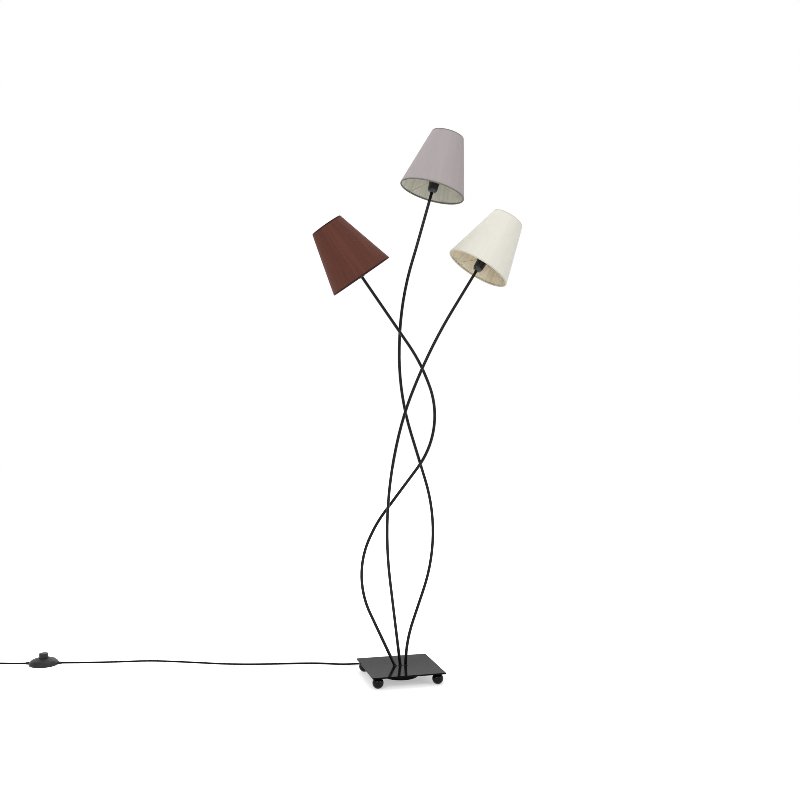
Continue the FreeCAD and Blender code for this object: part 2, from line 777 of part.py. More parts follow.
def make_holder(name, set_on):
    arm_bore = S.arm_dia / 2 + S.weld_gap
    cap_inside = S.cap_dia / 2 - S.cap_wall
    cap = turned(
        "cap_" + name,
        (
            (arm_bore, NONE),
            (S.cap_nose_dia / 2, NONE),
            (S.cap_waist_dia / 2, S.cap_waist),
            (S.cap_dia / 2, S.cap_length),
            (cap_inside, S.cap_length),
            (cap_inside, S.cap_floor),
            (arm_bore, S.cap_floor),
        ),
        rounds=((1, S.cap_nose_round), (2, S.cap_nose_round * 4)),
    )
    node(set_on(cap), "holder_cap_" + name)
    body_radius = S.body_dia / 2
    spigot_radius = cap_inside - S.weld_gap * 2
    corners = [
        (NONE, body_foot - S.spigot),
        (spigot_radius, body_foot - S.spigot),
        (spigot_radius, body_foot),
        (S.shoulder_dia / 2, body_foot),
        (S.shoulder_dia / 2, shoulder_top),
        (body_radius, shoulder_top),
    ]
    thread_foot = body_top - S.thread_pitch * (float(S.thread_turns) + 0.5)
    for turn in range(int(float(S.thread_turns))):
        low = thread_foot + S.thread_pitch * turn
        corners.append((body_radius, low))
        corners.append((body_radius - S.thread_depth, low + S.thread_pitch / 2))
    corners += [
        (body_radius, body_top - S.thread_pitch / 2),
        (body_radius, body_top),
        (S.body_bore / 2, body_top),
        (S.body_bore / 2, body_floor_top),
        (NONE, body_floor_top),
    ]
    node(set_on(turned("body_" + name, corners)), "holder_body_" + name)


def make_shade_ring(name, set_on):
    inside = S.body_dia / 2 + S.ring_play
    ring = turned(
        "shade_ring_turned_" + name,
        (
            (inside, ring_under),
            (S.ring_dia / 2, ring_under),
            (S.ring_dia / 2, ring_under + S.ring_flange),
            (S.ring_collar_dia / 2, ring_under + S.ring_flange),
            (S.ring_collar_dia / 2, ring_under + S.ring_thick),
            (inside, ring_under + S.ring_thick),
        ),
    )
    node(set_on(ring), "shade_ring_" + name)


def make_contacts(name, set_on):
    sleeve = cylinder("sleeve_outside_" + name, S.sleeve_dia / 2, S.sleeve_length)
    bore = cylinder("sleeve_bore_" + name, S.sleeve_dia / 2 - S.sleeve_wall, S.sleeve_length)
    tube_part = cut("sleeve_" + name, sleeve, bore)
    middle = cylinder("contact_" + name, S.contact_dia / 2, S.contact_height)
    contacts = group("contact_set_" + name, [at(tube_part, z=body_floor_top), at(middle, z=body_floor_top)])
    node(set_on(contacts), "holder_contacts_" + name)


def make_bulb(name, set_on):
    cap_radius = S.bulb_cap_dia / 2
    cap = turned(
        "bulb_cap_turned_" + name,
        (
            (NONE, bulb_foot),
            (S.contact_dia / 2, bulb_foot),
            (cap_radius, bulb_foot + S.contact_height),
            (cap_radius, glass_foot),
            (NONE, glass_foot),
        ),
    )
    node(set_on(cap), "bulb_cap_" + name)
    glass = turned(
        "bulb_glass_turned_" + name,
        (
            (NONE, glass_foot),
            (cap_radius, glass_foot),
            (S.bulb_dia / 2, glass_foot + S.bulb_length * BELLY_UP),
            (S.bulb_dia / 2 * SHOULDER_OUT, glass_foot + S.bulb_length * SHOULDER_UP),
            (S.bulb_tip_dia / 2, glass_foot + S.bulb_length),
            (NONE, glass_foot + S.bulb_length),
        ),
        rounds=((2, S.bulb_belly_round), (3, S.bulb_shoulder_round), (4, S.bulb_tip_round)),
    )
    node(set_on(glass), "bulb_glass_" + name)


def make_shade(name, set_on, rim_height):
    wire_radius = S.wire_dia / 2
    low = wire_radius + S.wire_gap
    high = S.shade_height - low
    cloth = turned(
        "cloth_" + name,
        (
            (S.shade_bottom_dia / 2 - S.shade_wall, rim_height),
            (S.shade_bottom_dia / 2, rim_height),
            (S.shade_top_dia / 2, rim_height + S.shade_height),
            (S.shade_top_dia / 2 - S.shade_wall, rim_height + S.shade_height),
        ),
    )
    node(set_on(cloth), "shade_" + name)
    top_ring = torus("top_ring_" + name, shade_ring_radius(high), wire_radius)
    at(top_ring, z=rim_height + high)
    node(set_on(group("top_ring_set_" + name, [top_ring])), "shade_top_ring_" + name)
    # the ring's own seam is turned away from the spokes
    bottom = torus("bottom_ring_" + name, shade_ring_radius(low), wire_radius)
    at(bottom, rotation=Rotation(UP, 180.0 / float(S.spokes)), z=rim_height + low)
    hub_disc = cylinder("hub_disc_" + name, S.hub_dia / 2, S.hub_thick)
    hub_hole = cylinder("hub_hole_" + name, S.hub_hole_dia / 2, S.hub_thick)
    hub = at(cut("hub_" + name, hub_disc, hub_hole), z=hub_under)
    # the wire's end is sunk in the hub's edge and stays below the hub's top, clear of the ring
    spoke_radius = S.spoke_dia / 2
    sunk = Vector(float(S.hub_dia / 2 - spoke_radius), 0, float(hub_top - spoke_radius * SPOKE_SINK))
    ring_middle = Vector(float(shade_ring_radius(low)), 0, float(rim_height + low))
    way = ring_middle - sunk
    spokes = []
    for index in range(int(float(S.spokes))):
        swing = Rotation(UP, 360.0 * index / float(S.spokes))
        spoke = cylinder("spoke_%s_%d" % (name, index), spoke_radius, way.Length)
        spokes.append(at(spoke, swing.multVec(sunk), along(swing.multVec(way))))
    frame = fuse("shade_frame_fused_" + name, [bottom, hub] + spokes)
    node(set_on(frame), "shade_frame_" + name)


def make_head(name, arm):
    _start, _bends, _radii, rim, _first, last = arm_course(arm)
    drop = holder_drop(arm)
    foot = rim - last * float(drop)

    def set_on(thing):
        return at(thing, foot, along(last))

    make_holder(name, set_on)
    make_contacts(name, set_on)
    make_shade_ring(name, set_on)
    make_bulb(name, set_on)
    make_shade(name, set_on, drop)
    way = ", ".join("%.5f" % number for number in last)
    print("head %s: rim (%.2f, %.2f, %.2f), axis (%s)" % (name, rim.x, rim.y, rim.z, way))


# ---------------------------------------------------------------------------------------------
# Foot switch, built about its own Z axis with the cord along its X axis
# ---------------------------------------------------------------------------------------------

switch_place = Placement(Vector(SWITCH_AT[0], SWITCH_AT[1], 0), Rotation(UP, SWITCH_TURN))
cover_radius = S.switch_dia / 2
cover_inside = cover_radius - S.switch_wall
cover_under_top = S.switch_top - S.switch_wall
contacts_top = S.switch_spigot + S.contacts_height
button_hole = S.button_dia / 2 + S.switch_play
flange_top = cover_under_top - S.switch_play
roof_under = S.button_top - S.button_wall


def in_switch(thing):
    thing.Placement = switch_place.multiply(thing.Placement)
    return thing


def screw_spots():
    """The two screws stand across the cord."""
    for side in (-1, 1):
        yield side + 1, S.switch_screw_offset * side


def make_switch_base():
    disc = turned(
        "switch_disc",
        (
            (NONE, NONE),
            (cover_radius, NONE),
            (cover_radius, S.switch_flange),
            (cover_inside - S.switch_play, S.switch_flange),
            (cover_inside - S.switch_play, S.switch_spigot),
            (NONE, S.switch_spigot),
        ),
        rounds=((1, S.switch_flange / 2),),
    )
    holes = []
    for number, spot in screw_spots():
        sink = cylinder("switch_sink_%d" % number, S.switch_screw_head_dia / 2, S.switch_flange)
        bore = cylinder("switch_bore_%d" % number, S.switch_screw_dia / 2, S.switch_spigot)
        holes += [at(sink, y=spot), at(bore, y=spot)]
    # the cord and its reliefs lie in two grooves of the disc, outside the contact block
    for side in (-1, 1):
        groove = cylinder("switch_groove_%d" % (side + 1), S.port_tip_dia / 2 + S.weld_gap, S.switch_dia)
        at(groove, rotation=along(Vector(side, 0, 0)), x=S.contacts_length / 2 * side, z=S.switch_port_height)
        holes.append(groove)
    node(in_switch(cut("switch_disc_cut", disc, group("switch_disc_holes", holes))), "switch_base")


def make_switch_screws():
    screws = []
    for number, spot in screw_spots():
        lift = S.switch_screw_recess
        head = cylinder("switch_head_%d" % number, S.switch_screw_head_dia / 2, S.switch_flange - lift)
        shank = cylinder("switch_shank_%d" % number, S.switch_screw_dia / 2, S.switch_screw_length)
        at(head, y=spot, z=lift)
        at(shank, y=spot, z=lift)
        screws.append(fuse("switch_screw_%d" % number, [head, shank]))
    node(in_switch(group("switch_screw_set", screws)), "switch_screws")


def make_switch_cover():
    outside = turned(
        "cover_outside",
        (
            (NONE, S.switch_flange),
            (cover_radius, S.switch_flange),
            (cover_radius, S.switch_rim),
            (S.switch_knee_dia / 2, S.switch_knee),
            (S.switch_top_dia / 2, S.switch_top),
            (NONE, S.switch_top),
        ),
        rounds=((2, S.switch_rim_round), (3, S.switch_knee_round), (4, S.switch_top_round)),
    )
    hollow = turned(
        "cover_hollow",
        (
            (NONE, S.switch_flange),
            (cover_inside, S.switch_flange),
            (cover_inside, S.switch_rim - S.switch_wall / 2),
            (S.switch_knee_dia / 2 - S.switch_wall, S.switch_knee - S.switch_wall),
            (S.switch_top_dia / 2 - S.switch_wall / 2, cover_under_top),
            (NONE, cover_under_top),
        ),
    )
    bosses = []
    for number, spot in screw_spots():
        boss = cylinder("boss_%d" % number, S.switch_boss_dia / 2, S.switch_top)
        bore_depth = S.switch_screw_length + S.switch_play
        bore = cylinder("boss_bore_%d" % number, S.switch_screw_dia / 2, bore_depth)
        bosses.append(at(cut("boss_tube_%d" % number, boss, bore), y=spot))
    floor_gap = cylinder("cover_floor_gap", cover_inside, S.switch_spigot)
    cavity = fuse("cover_cavity", [cut("cover_room", hollow, group("bosses", bosses)), floor_gap])
    ports = cylinder("cover_ports", S.port_tip_dia / 2 + S.weld_gap, S.switch_dia * 2)
    at(ports, rotation=along(Vector(1, 0, 0)), x=-S.switch_dia, z=S.switch_port_height)
    mouth = at(cylinder("cover_mouth", button_hole, S.switch_top), z=S.switch_wall)
    shell = cut("cover", outside, fuse("cover_tools", [cavity, ports, mouth]))
    node(in_switch(shell), "switch_cover")


def make_button():
    radius = S.button_dia / 2
    button = turned(
        "button_turned",
        (
            (S.button_bore / 2, flange_top - S.button_flange),
            (S.button_flange_dia / 2, flange_top - S.button_flange),
            (S.button_flange_dia / 2, flange_top),
            (radius, flange_top),
            (radius, S.button_top),
            (NONE, S.button_top),
            (NONE, roof_under),
            (S.button_bore / 2, roof_under),
        ),
        rounds=((4, S.button_round),),
    )
    node(in_switch(button), "switch_button")


def make_switch_contacts():
    block = box("contacts_box", S.contacts_length, S.contacts_width, S.contacts_height)
    at(block, x=-S.contacts_length / 2, y=-S.contacts_width / 2, z=S.switch_spigot)
    reach = roof_under - S.button_travel * 2 - S.switch_spigot
    post = at(cylinder("spring_post", S.spring_post_dia / 2, reach), z=S.switch_spigot)
    node(in_switch(fuse("contacts", [block, post])), "switch_contacts")


def make_spring():
    """The button's spring, from the contact block up to the roof of the button."""
    radius = S.spring_dia / 2
    low = contacts_top + S.spring_wire / 2 + S.weld_gap
    rise = roof_under - S.spring_wire / 2 - S.weld_gap - low
    line = doc.addObject("Part::Helix", "spring_line")
    at(bind(line, Pitch=rise / S.spring_turns, Height=rise, Radius=radius), z=low)
    section = bind(doc.addObject("Part::Circle", "spring_section"), Radius=S.spring_wire / 2)
    climb = Vector(0, 2 * math.pi * float(radius), float(rise / S.spring_turns))
    at(section, rotation=along(climb), x=radius, z=low)
    doc.recompute()
    spring = doc.addObject("Part::Sweep", "spring")
    spring.Sections = [section]
    spring.Spine = (line, ["Edge%d" % (number + 1) for number in range(len(line.Shape.Edges))])
    spring.Solid = True
    spring.Frenet = True
    node(in_switch(spring), "switch_spring")
    turns_length = climb.Length * float(S.spring_turns)
    check_bar("switch_spring", spring, turns_length, disc_area(S.spring_wire), [float(radius)])


def make_switch_reliefs():
    reliefs = []
    for side in (-1, 1):
        facing = Vector(side, 0, 0)
        barrel = cylinder("port_barrel_%d" % (side + 1), S.port_tip_dia / 2, S.switch_wall + S.weld_gap * 2)
        at(barrel, rotation=along(facing), x=cover_inside * side, z=S.switch_port_height)
        taper = cone("port_taper_%d" % (side + 1), S.port_root_dia / 2, S.port_tip_dia / 2, S.port_length)
        out = cover_radius + S.weld_gap * 2
        at(taper, rotation=along(facing), x=out * side, z=S.switch_port_height)
        bore = cylinder("port_bore_%d" % (side + 1), S.cord_dia / 2 + S.cord_play, S.switch_dia)
        at(bore, rotation=along(facing), x=S.switch_spigot * side, z=S.switch_port_height)
        solid = fuse("port_solid_%d" % (side + 1), [barrel, taper])
        reliefs.append(cut("port_%d" % (side + 1), solid, bore))
    node(in_switch(group("ports", reliefs)), "switch_reliefs")


# ---------------------------------------------------------------------------------------------
# Cord, coil, tie and plug
# ---------------------------------------------------------------------------------------------


def beside_switch(reach, lift=0.0):
    """A point on the switch's X axis, at the height of the cord's ports."""
    return switch_place.multVec(Vector(reach, 0, float(S.switch_port_height) + lift))


def make_cord(label, points):
    cord, wire, used = tube(label + "_tube", points, S.cord_dia / 2)
    node(cord, label)
    check_bar(label, cord, wire.Length, disc_area(S.cord_dia), used)


def make_cords():
    slant = math.radians(float(S.exit_turn))
    half_block = float(S.block_width) / 2 + float(S.cord_dia) / 2 * math.sin(slant)
    start = along_exit(half_block / math.cos(slant) + float(S.weld_gap))
    leaving = [start] + [along_exit(*point) for point in CORD_LEAVES_LAMP]
    terminal = float(S.contacts_length) / 2 + float(S.weld_gap)
    outside, sag = CORD_MEETS_SWITCH
    arriving = [beside_switch(outside, sag), beside_switch(terminal)]
    make_cord("cord_lamp", leaving + [vector(point) for point in CORD_TO_SWITCH] + arriving)
    onward = [beside_switch(-terminal), beside_switch(-outside, sag)]
    make_cord("cord_supply", onward + [vector(point) for point in CORD_TO_COIL])
    make_cord("cord_tail", [vector(point) for point in CORD_TO_PLUG])


def make_coil():
    """The outer shape of three turns side by side with two more on top of them."""
    middle = S.coil_mid_dia / 2
    half = S.cord_dia * 1.5
    top = S.coil_lift + S.cord_dia * (1 + math.sin(math.radians(60)))
    knee = S.coil_lift + S.cord_dia
    coil = turned(
        "coil_turned",
        (
            (middle - half, S.coil_lift),
            (middle + half, S.coil_lift),
            (middle + half, knee),
            (middle + S.cord_dia, top),
            (middle - S.cord_dia, top),
            (middle - half, knee),
        ),
    )
    node(at(coil, Vector(COIL_AT[0], COIL_AT[1], 0)), "cord_coil")
    inner = middle - half
    near = root(inner * inner - S.tie_width * S.tie_width / 4) - S.weld_gap * 2
    far = middle + half + S.weld_gap * 2
    play = S.weld_gap
    strip_height = top - S.coil_lift + S.tie_thick * 2 + play * 2
    strip = box("tie_outside", far - near + S.tie_thick * 2, S.tie_width, strip_height)
    at(strip, x=near - S.tie_thick, y=-S.tie_width / 2, z=S.coil_lift - S.tie_thick - play)
    room = box("tie_inside", far - near, S.tie_width, top - S.coil_lift + play * 2)
    at(room, x=near, y=-S.tie_width / 2, z=S.coil_lift - play)
    tie = cut("tie", strip, room)
    node(at(tie, Vector(COIL_AT[0], COIL_AT[1], 0), Rotation(UP, -60)), "cord_tie")


def make_plug():
    """A flat two-pin plug, built along +X from the tip of its strain relief."""
    tail = [vector(point) for point in CORD_TO_PLUG]
    way = tail[-1] - tail[-2]
    turn = math.degrees(math.atan2(way.y, way.x))
    place = Placement(tail[-1], Rotation(UP, turn))
    half = S.plug_thick / 2
    taper_length = S.plug_relief + S.plug_round
    taper = cone("plug_taper", S.plug_relief_tip_dia / 2, S.plug_relief_root_dia / 2, taper_length)
    at(taper, rotation=along(Vector(1, 0, 0)))
    block = box("plug_block", S.plug_length, S.plug_width, S.plug_thick)
    at(block, x=S.plug_relief, y=-S.plug_width / 2, z=-half)
    doc.recompute()
    soft = doc.addObject("Part::Fillet", "plug_soft")
    soft.Base = block
    radius = float(S.plug_round)
    front = float(S.plug_relief + S.plug_length)
    chosen = []
    for number, edge in enumerate(block.Shape.Edges, start=1):
        if edge.CenterOfMass.x < front - 1e-6:
            chosen.append((number, radius, radius))
    soft.Edges = chosen
    body = fuse("plug_solid", [taper, soft])
    pins = []
    for side in (-1, 1):
        pin = cylinder("pin_%d" % (side + 1), S.pin_dia / 2, S.pin_length - S.pin_tip)
        tip = cone("pin_tip_%d" % (side + 1), S.pin_dia / 2, S.pin_dia / 2 - S.pin_tip, S.pin_tip)
        spot = S.pin_pitch / 2 * side
        at(pin, rotation=along(Vector(1, 0, 0)), x=S.plug_relief + S.plug_length, y=spot)
        tip_x = S.plug_relief + S.plug_length + S.pin_length - S.pin_tip
        at(tip, rotation=along(Vector(1, 0, 0)), x=tip_x, y=spot)
        pins.append(fuse("pin_solid_%d" % (side + 1), [pin, tip]))
    pin_set = group("pin_set", pins)
    for thing, label in ((body, "plug_body"), (pin_set, "plug_pins")):
        thing.Placement = place
        node(thing, label)
    for side in (-1, 1):
        root_point = place.multVec(Vector(front, float(S.pin_pitch) / 2 * side, 0))
        print("plug pin %d: root (%.3f, %.3f, %.3f), way %.4f degrees" % (side, *root_point, turn))


# ---------------------------------------------------------------------------------------------
# Build, check and write
# ---------------------------------------------------------------------------------------------


def build():
    for corner, (side_x, side_y) in CORNERS.items():
        make_foot(corner, side_x, side_y)
    make_studs()
    make_plate()
    make_dish()
    make_posts()
    make_terminal_block()
    make_cord_exit()
    for name, arm in ARMS.items():
        make_arm(name, arm)
        make_head(name, arm)
    make_switch_base()
    make_switch_screws()
    make_switch_cover()
    make_button()
    make_switch_contacts()
    make_spring()
    make_switch_reliefs()
    make_cords()
    make_coil()
    make_plug()
    doc.recompute()


def check():
    for thing in doc.Objects:
        if "Invalid" in thing.State or "Error" in thing.State:
            raise ValueError("%s failed: %s" % (thing.Name, thing.State))
    for thing in NODES:
        if thing.Shape.isNull() or not thing.Shape.isValid() or not thing.Shape.Solids:
            raise ValueError("%s has no valid solid" % thing.Label)


def write():
    os.makedirs("parts", exist_ok=True)
    for thing in NODES:
        thing.Shape.exportStep("parts/%s.step" % thing.Label)
    print("%d nodes" % len(NODES))


build()
check()
write()
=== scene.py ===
"""Tree floor lamp: the looks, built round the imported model. Metres, +Z up, the front is -Y."""

import json
import math

import bmesh
import bpy
import numpy as np
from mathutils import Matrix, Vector


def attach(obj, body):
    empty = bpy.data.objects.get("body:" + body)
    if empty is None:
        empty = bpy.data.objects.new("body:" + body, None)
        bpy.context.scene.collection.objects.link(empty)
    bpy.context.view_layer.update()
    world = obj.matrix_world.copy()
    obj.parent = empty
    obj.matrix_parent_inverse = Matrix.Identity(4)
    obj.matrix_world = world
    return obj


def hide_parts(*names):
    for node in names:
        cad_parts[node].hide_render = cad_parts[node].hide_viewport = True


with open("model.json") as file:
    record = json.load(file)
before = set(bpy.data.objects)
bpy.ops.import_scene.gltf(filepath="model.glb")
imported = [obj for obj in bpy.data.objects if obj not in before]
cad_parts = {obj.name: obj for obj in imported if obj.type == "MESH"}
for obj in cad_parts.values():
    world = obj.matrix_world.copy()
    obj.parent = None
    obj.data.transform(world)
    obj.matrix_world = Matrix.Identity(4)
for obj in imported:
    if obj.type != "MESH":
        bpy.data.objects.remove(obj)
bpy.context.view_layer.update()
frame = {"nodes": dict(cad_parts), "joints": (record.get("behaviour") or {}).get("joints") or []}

MM = 0.001
UP = Vector((0, 0, 1))
COLOURS = ("brown", "cream", "grey")

# ---------------------------------------------------------------------------------------------
# Sizes that the looks share with the construction, in metres
# ---------------------------------------------------------------------------------------------

# Shade, along its own axis from the plane of its lower rim
SHADE_BOTTOM = 90 * MM
SHADE_TOP = 45 * MM
SHADE_HEIGHT = 165 * MM
SHADE_WALL = 1.0 * MM
WIRE = 1.2 * MM
WIRE_GAP = 0.15 * MM
LEAN = (SHADE_BOTTOM - SHADE_TOP) / SHADE_HEIGHT
# How far each holder's lower end is below its shade's rim, and the hub above that lower end
HOLDER_DROP = {"brown": 2.5 * MM, "cream": 8 * MM, "grey": 2.5 * MM}
HUB_HEIGHT = 33.4 * MM

# Holder's lower cap, along the same axis from its lower end
CAP_LENGTH = 30 * MM
CAP_NOSE = 10 * MM
CAP_WAIST = 13 * MM
CAP_TOP = 14 * MM

ARM_RADIUS = 4 * MM
CORD_RADIUS = 2.5 * MM

# ---------------------------------------------------------------------------------------------
# Small helpers
# ---------------------------------------------------------------------------------------------


def tint(red, green, blue):
    """A colour written as it looks on a screen, 0 to 255, as the linear one that shaders take."""
    def linear(value):
        share = value / 255
        return share / 12.92 if share <= 0.04045 else ((share + 0.055) / 1.055) ** 2.4

    return linear(red), linear(green), linear(blue), 1.0


def scaled(colour, share):
    """A colour made darker, or lighter where the share is over 1."""
    return tuple(part * share for part in colour[:3]) + (1.0,)


def smooth(low, high, value):
    """0 below low, 1 above high, and an easy way between them."""
    share = np.clip((value - low) / (high - low), 0, 1)
    return share * share * (3 - 2 * share)


def linked(name, data):
    thing = bpy.data.objects.new(name, data)
    bpy.context.scene.collection.objects.link(thing)
    return thing


def grid_faces(rows, columns, closed_rows=False, closed_columns=False):
    """Quads over a grid of points that is stored row by row."""
    faces = []
    for row in range(rows if closed_rows else rows - 1):
        for column in range(columns if closed_columns else columns - 1):
            across = (column + 1) % columns
            above = (row + 1) % rows
            faces.append((
                row * columns + column,
                row * columns + across,
                above * columns + across,
                above * columns + column,
            ))
    return faces


def mesh_piece(name, points, faces, material, cloth=None):
    """A mesh object, smooth, with its material and its cloth coordinates."""
    mesh = bpy.data.meshes.new(name)
    mesh.from_pydata([tuple(point) for point in points], [], faces)
    if cloth is not None:
        attribute = mesh.attributes.new("cloth", "FLOAT_VECTOR", "POINT")
        attribute.data.foreach_set("vector", np.asarray(cloth, np.float32).ravel())
    mesh.polygons.foreach_set("use_smooth", [True] * len(mesh.polygons))
    mesh.materials.append(material)
    mesh.update()
    work = bmesh.new()
    work.from_mesh(mesh)
    bmesh.ops.recalc_face_normals(work, faces=work.faces)
    work.to_mesh(mesh)
    work.free()
    return linked(name, mesh)


# ---------------------------------------------------------------------------------------------
# Materials
# ---------------------------------------------------------------------------------------------


class Finish:
    """A material under construction: its Principled shader and the textures that feed it."""

    def __init__(self, name, colour, roughness, metallic=0.0, **sockets):
        self.material = bpy.data.materials.new(name)
        self.material.use_nodes = True
        self.tree = self.material.node_tree
        self.shader = self.tree.nodes["Principled BSDF"]
        self.shader.inputs["Base Color"].default_value = colour
        self.shader.inputs["Roughness"].default_value = roughness
        self.shader.inputs["Metallic"].default_value = metallic
        for socket, value in sockets.items():
            self.shader.inputs[socket.replace("_", " ")].default_value = value
        self.material.diffuse_color = colour

    def node(self, kind, **inputs):
        made = self.tree.nodes.new(kind)
        for socket, value in inputs.items():
            made.inputs[socket.replace("_", " ")].default_value = value
        return made

    def link(self, source, target):
        self.tree.links.new(source, target)

    def coordinates(self, stretch=(1, 1, 1), cloth=False):
        """Places on the piece in metres, or on the flat cloth, stretched for a texture."""
        if cloth:
            source = self.tree.nodes.new("ShaderNodeAttribute")
            source.attribute_name = "cloth"
            place = source.outputs["Vector"]
        else:
            place = self.tree.nodes.new("ShaderNodeTexCoord").outputs["Object"]
        mapping = self.node("ShaderNodeMapping", Scale=stretch)
        self.link(place, mapping.inputs["Vector"])
        return mapping.outputs["Vector"]

    def noise(self, place, scale, detail=3.0, roughness=0.55):
        made = self.node("ShaderNodeTexNoise", Scale=scale, Detail=detail, Roughness=roughness)
        self.link(place, made.inputs["Vector"])
        return made.outputs["Fac"]

    def math(self, operation, first, second=0):
        made = self.tree.nodes.new("ShaderNodeMath")
        made.operation = operation
        for socket, value in zip(made.inputs, (first, second)):
            if isinstance(value, (int, float)):
                socket.default_value = value
            else:
                self.link(value, socket)
        return made.outputs["Value"]

    def spread(self, value, low, high, from_low=0.3, from_high=0.7):
        """A texture's value brought to a range."""
        made = self.node(
            "ShaderNodeMapRange", From_Min=from_low, From_Max=from_high, To_Min=low, To_Max=high
        )
        self.link(value, made.inputs["Value"])
        return made.outputs["Result"]

    def colour(self, value, low, high, from_low=0.3, from_high=0.7):
        """The base colour runs between two colours as the value does."""
        ramp = self.tree.nodes.new("ShaderNodeValToRGB")
        ramp.color_ramp.elements[0].position = from_low
        ramp.color_ramp.elements[0].color = low
        ramp.color_ramp.elements[1].position = from_high
        ramp.color_ramp.elements[1].color = high
        self.link(value, ramp.inputs["Fac"])
        self.link(ramp.outputs["Color"], self.shader.inputs["Base Color"])

    def painted_fold_shadow(self, from_end, colour):
        """Painted shadow: a darker colour near the cloth's cut ends, in the fold where the cloth is
        turned round the wires.
        """
        folded = self.spread(from_end, 1, 0, HEM_FOLD, HEM_FOLD + HEM_EDGE)
        mix = self.tree.nodes.new("ShaderNodeMix")
        mix.data_type = "RGBA"
        base = self.shader.inputs["Base Color"]
        inputs = {socket.identifier: socket for socket in mix.inputs}
        self.link(folded, inputs["Factor_Float"])
        self.link(base.links[0].from_socket, inputs["A_Color"])
        inputs["B_Color"].default_value = colour
        outputs = {socket.identifier: socket for socket in mix.outputs}
        self.link(outputs["Result_Color"], base)

    def roughness(self, value, low, high):
        self.link(self.spread(value, low, high), self.shader.inputs["Roughness"])

    def bump(self, height, distance, strength=1.0):
        made = self.node("ShaderNodeBump", Strength=strength, Distance=distance)
        self.link(height, made.inputs["Height"])
        previous = self.shader.inputs["Normal"]
        if previous.is_linked:
            self.link(previous.links[0].from_socket, made.inputs["Normal"])
        self.link(made.outputs["Normal"], previous)


# How fine each texture is, about in features per metre, and how deep its relief is
ENAMEL_CLOUDS = 9.0
ORANGE_PEEL = 900.0
PEEL_DEPTH = 0.02 * MM
PLASTIC_CLOUDS = 30.0
SCRATCHES = 2200.0
SCRATCH_DEPTH = 0.004 * MM
FROST = 1500.0
FROST_DEPTH = 0.006 * MM


def powder_coat(name, colour, roughness, shine=0.5):
    """Sprayed black enamel: a fine orange peel, and a little unevenness in its gloss."""
    finish = Finish(name, colour, roughness, Specular_IOR_Level=shine)
    place = finish.coordinates()
    cloudy = finish.noise(place, ENAMEL_CLOUDS)
    finish.colour(cloudy, scaled(colour, 0.8), scaled(colour, 1.25))
    finish.roughness(cloudy, roughness * 0.85, roughness * 1.2)
    finish.bump(finish.noise(place, ORANGE_PEEL, 1.0), PEEL_DEPTH)
    return finish.material


def moulded(name, colour, roughness, grain=1400.0, depth=0.02, shine=0.5, **sockets):
    """Moulded plastic with a fine spark-eroded grain, its depth in millimetres."""
    finish = Finish(name, colour, roughness, Specular_IOR_Level=shine, **sockets)
    place = finish.coordinates()
    cloudy = finish.noise(place, PLASTIC_CLOUDS)
    finish.colour(cloudy, scaled(colour, 0.85), scaled(colour, 1.2))
    finish.roughness(cloudy, roughness * 0.88, roughness * 1.15)
    finish.bump(finish.noise(place, grain, 2.0), depth * MM)
    return finish.material


def bare_metal(name, colour, roughness, grain=(1, 1, 1)):
    """Plated or drawn metal, with fine scratches."""
    finish = Finish(name, colour, roughness, metallic=1.0)
    scratches = finish.noise(finish.coordinates(grain), SCRATCHES, 2.0)
    finish.colour(scratches, scaled(colour, 0.85), scaled(colour, 1.1))
    finish.roughness(scratches, roughness * 0.75, roughness * 1.3)
    finish.bump(scratches, SCRATCH_DEPTH)
    return finish.material


# The weave: one thread's width, the relief of its crossings and that of its slubs
THREAD = 0.42 * MM
WEAVE_DEPTH = 0.05 * MM
SLUB_DEPTH = 0.12 * MM
# How fine the cloth's and the foil's textures are round the shade and up it, in features per metre
FINE_STREAKS = (900, 14, 1)
BROAD_BANDS = (85, 2.2, 1)
WEFT_SLUBS = (24, 1100, 1)
FOIL_STREAKS = (160, 5, 1)
FOIL_GRAIN = (700, 700, 1)
FOIL_STREAK_DEPTH = 0.25 * MM
FOIL_GRAIN_DEPTH = 0.02 * MM
# What each texture adds to the cloth's colour
STREAK_SHARE = 0.4
BAND_SHARE = 0.4
SLUB_SHARE = 0.2
# The cloth's turn round a wire, from its cut end, where its painted shadow lies, and that painted
# shadow's soft edge
HEM_FOLD = 8.6 * MM
HEM_EDGE = 0.6 * MM


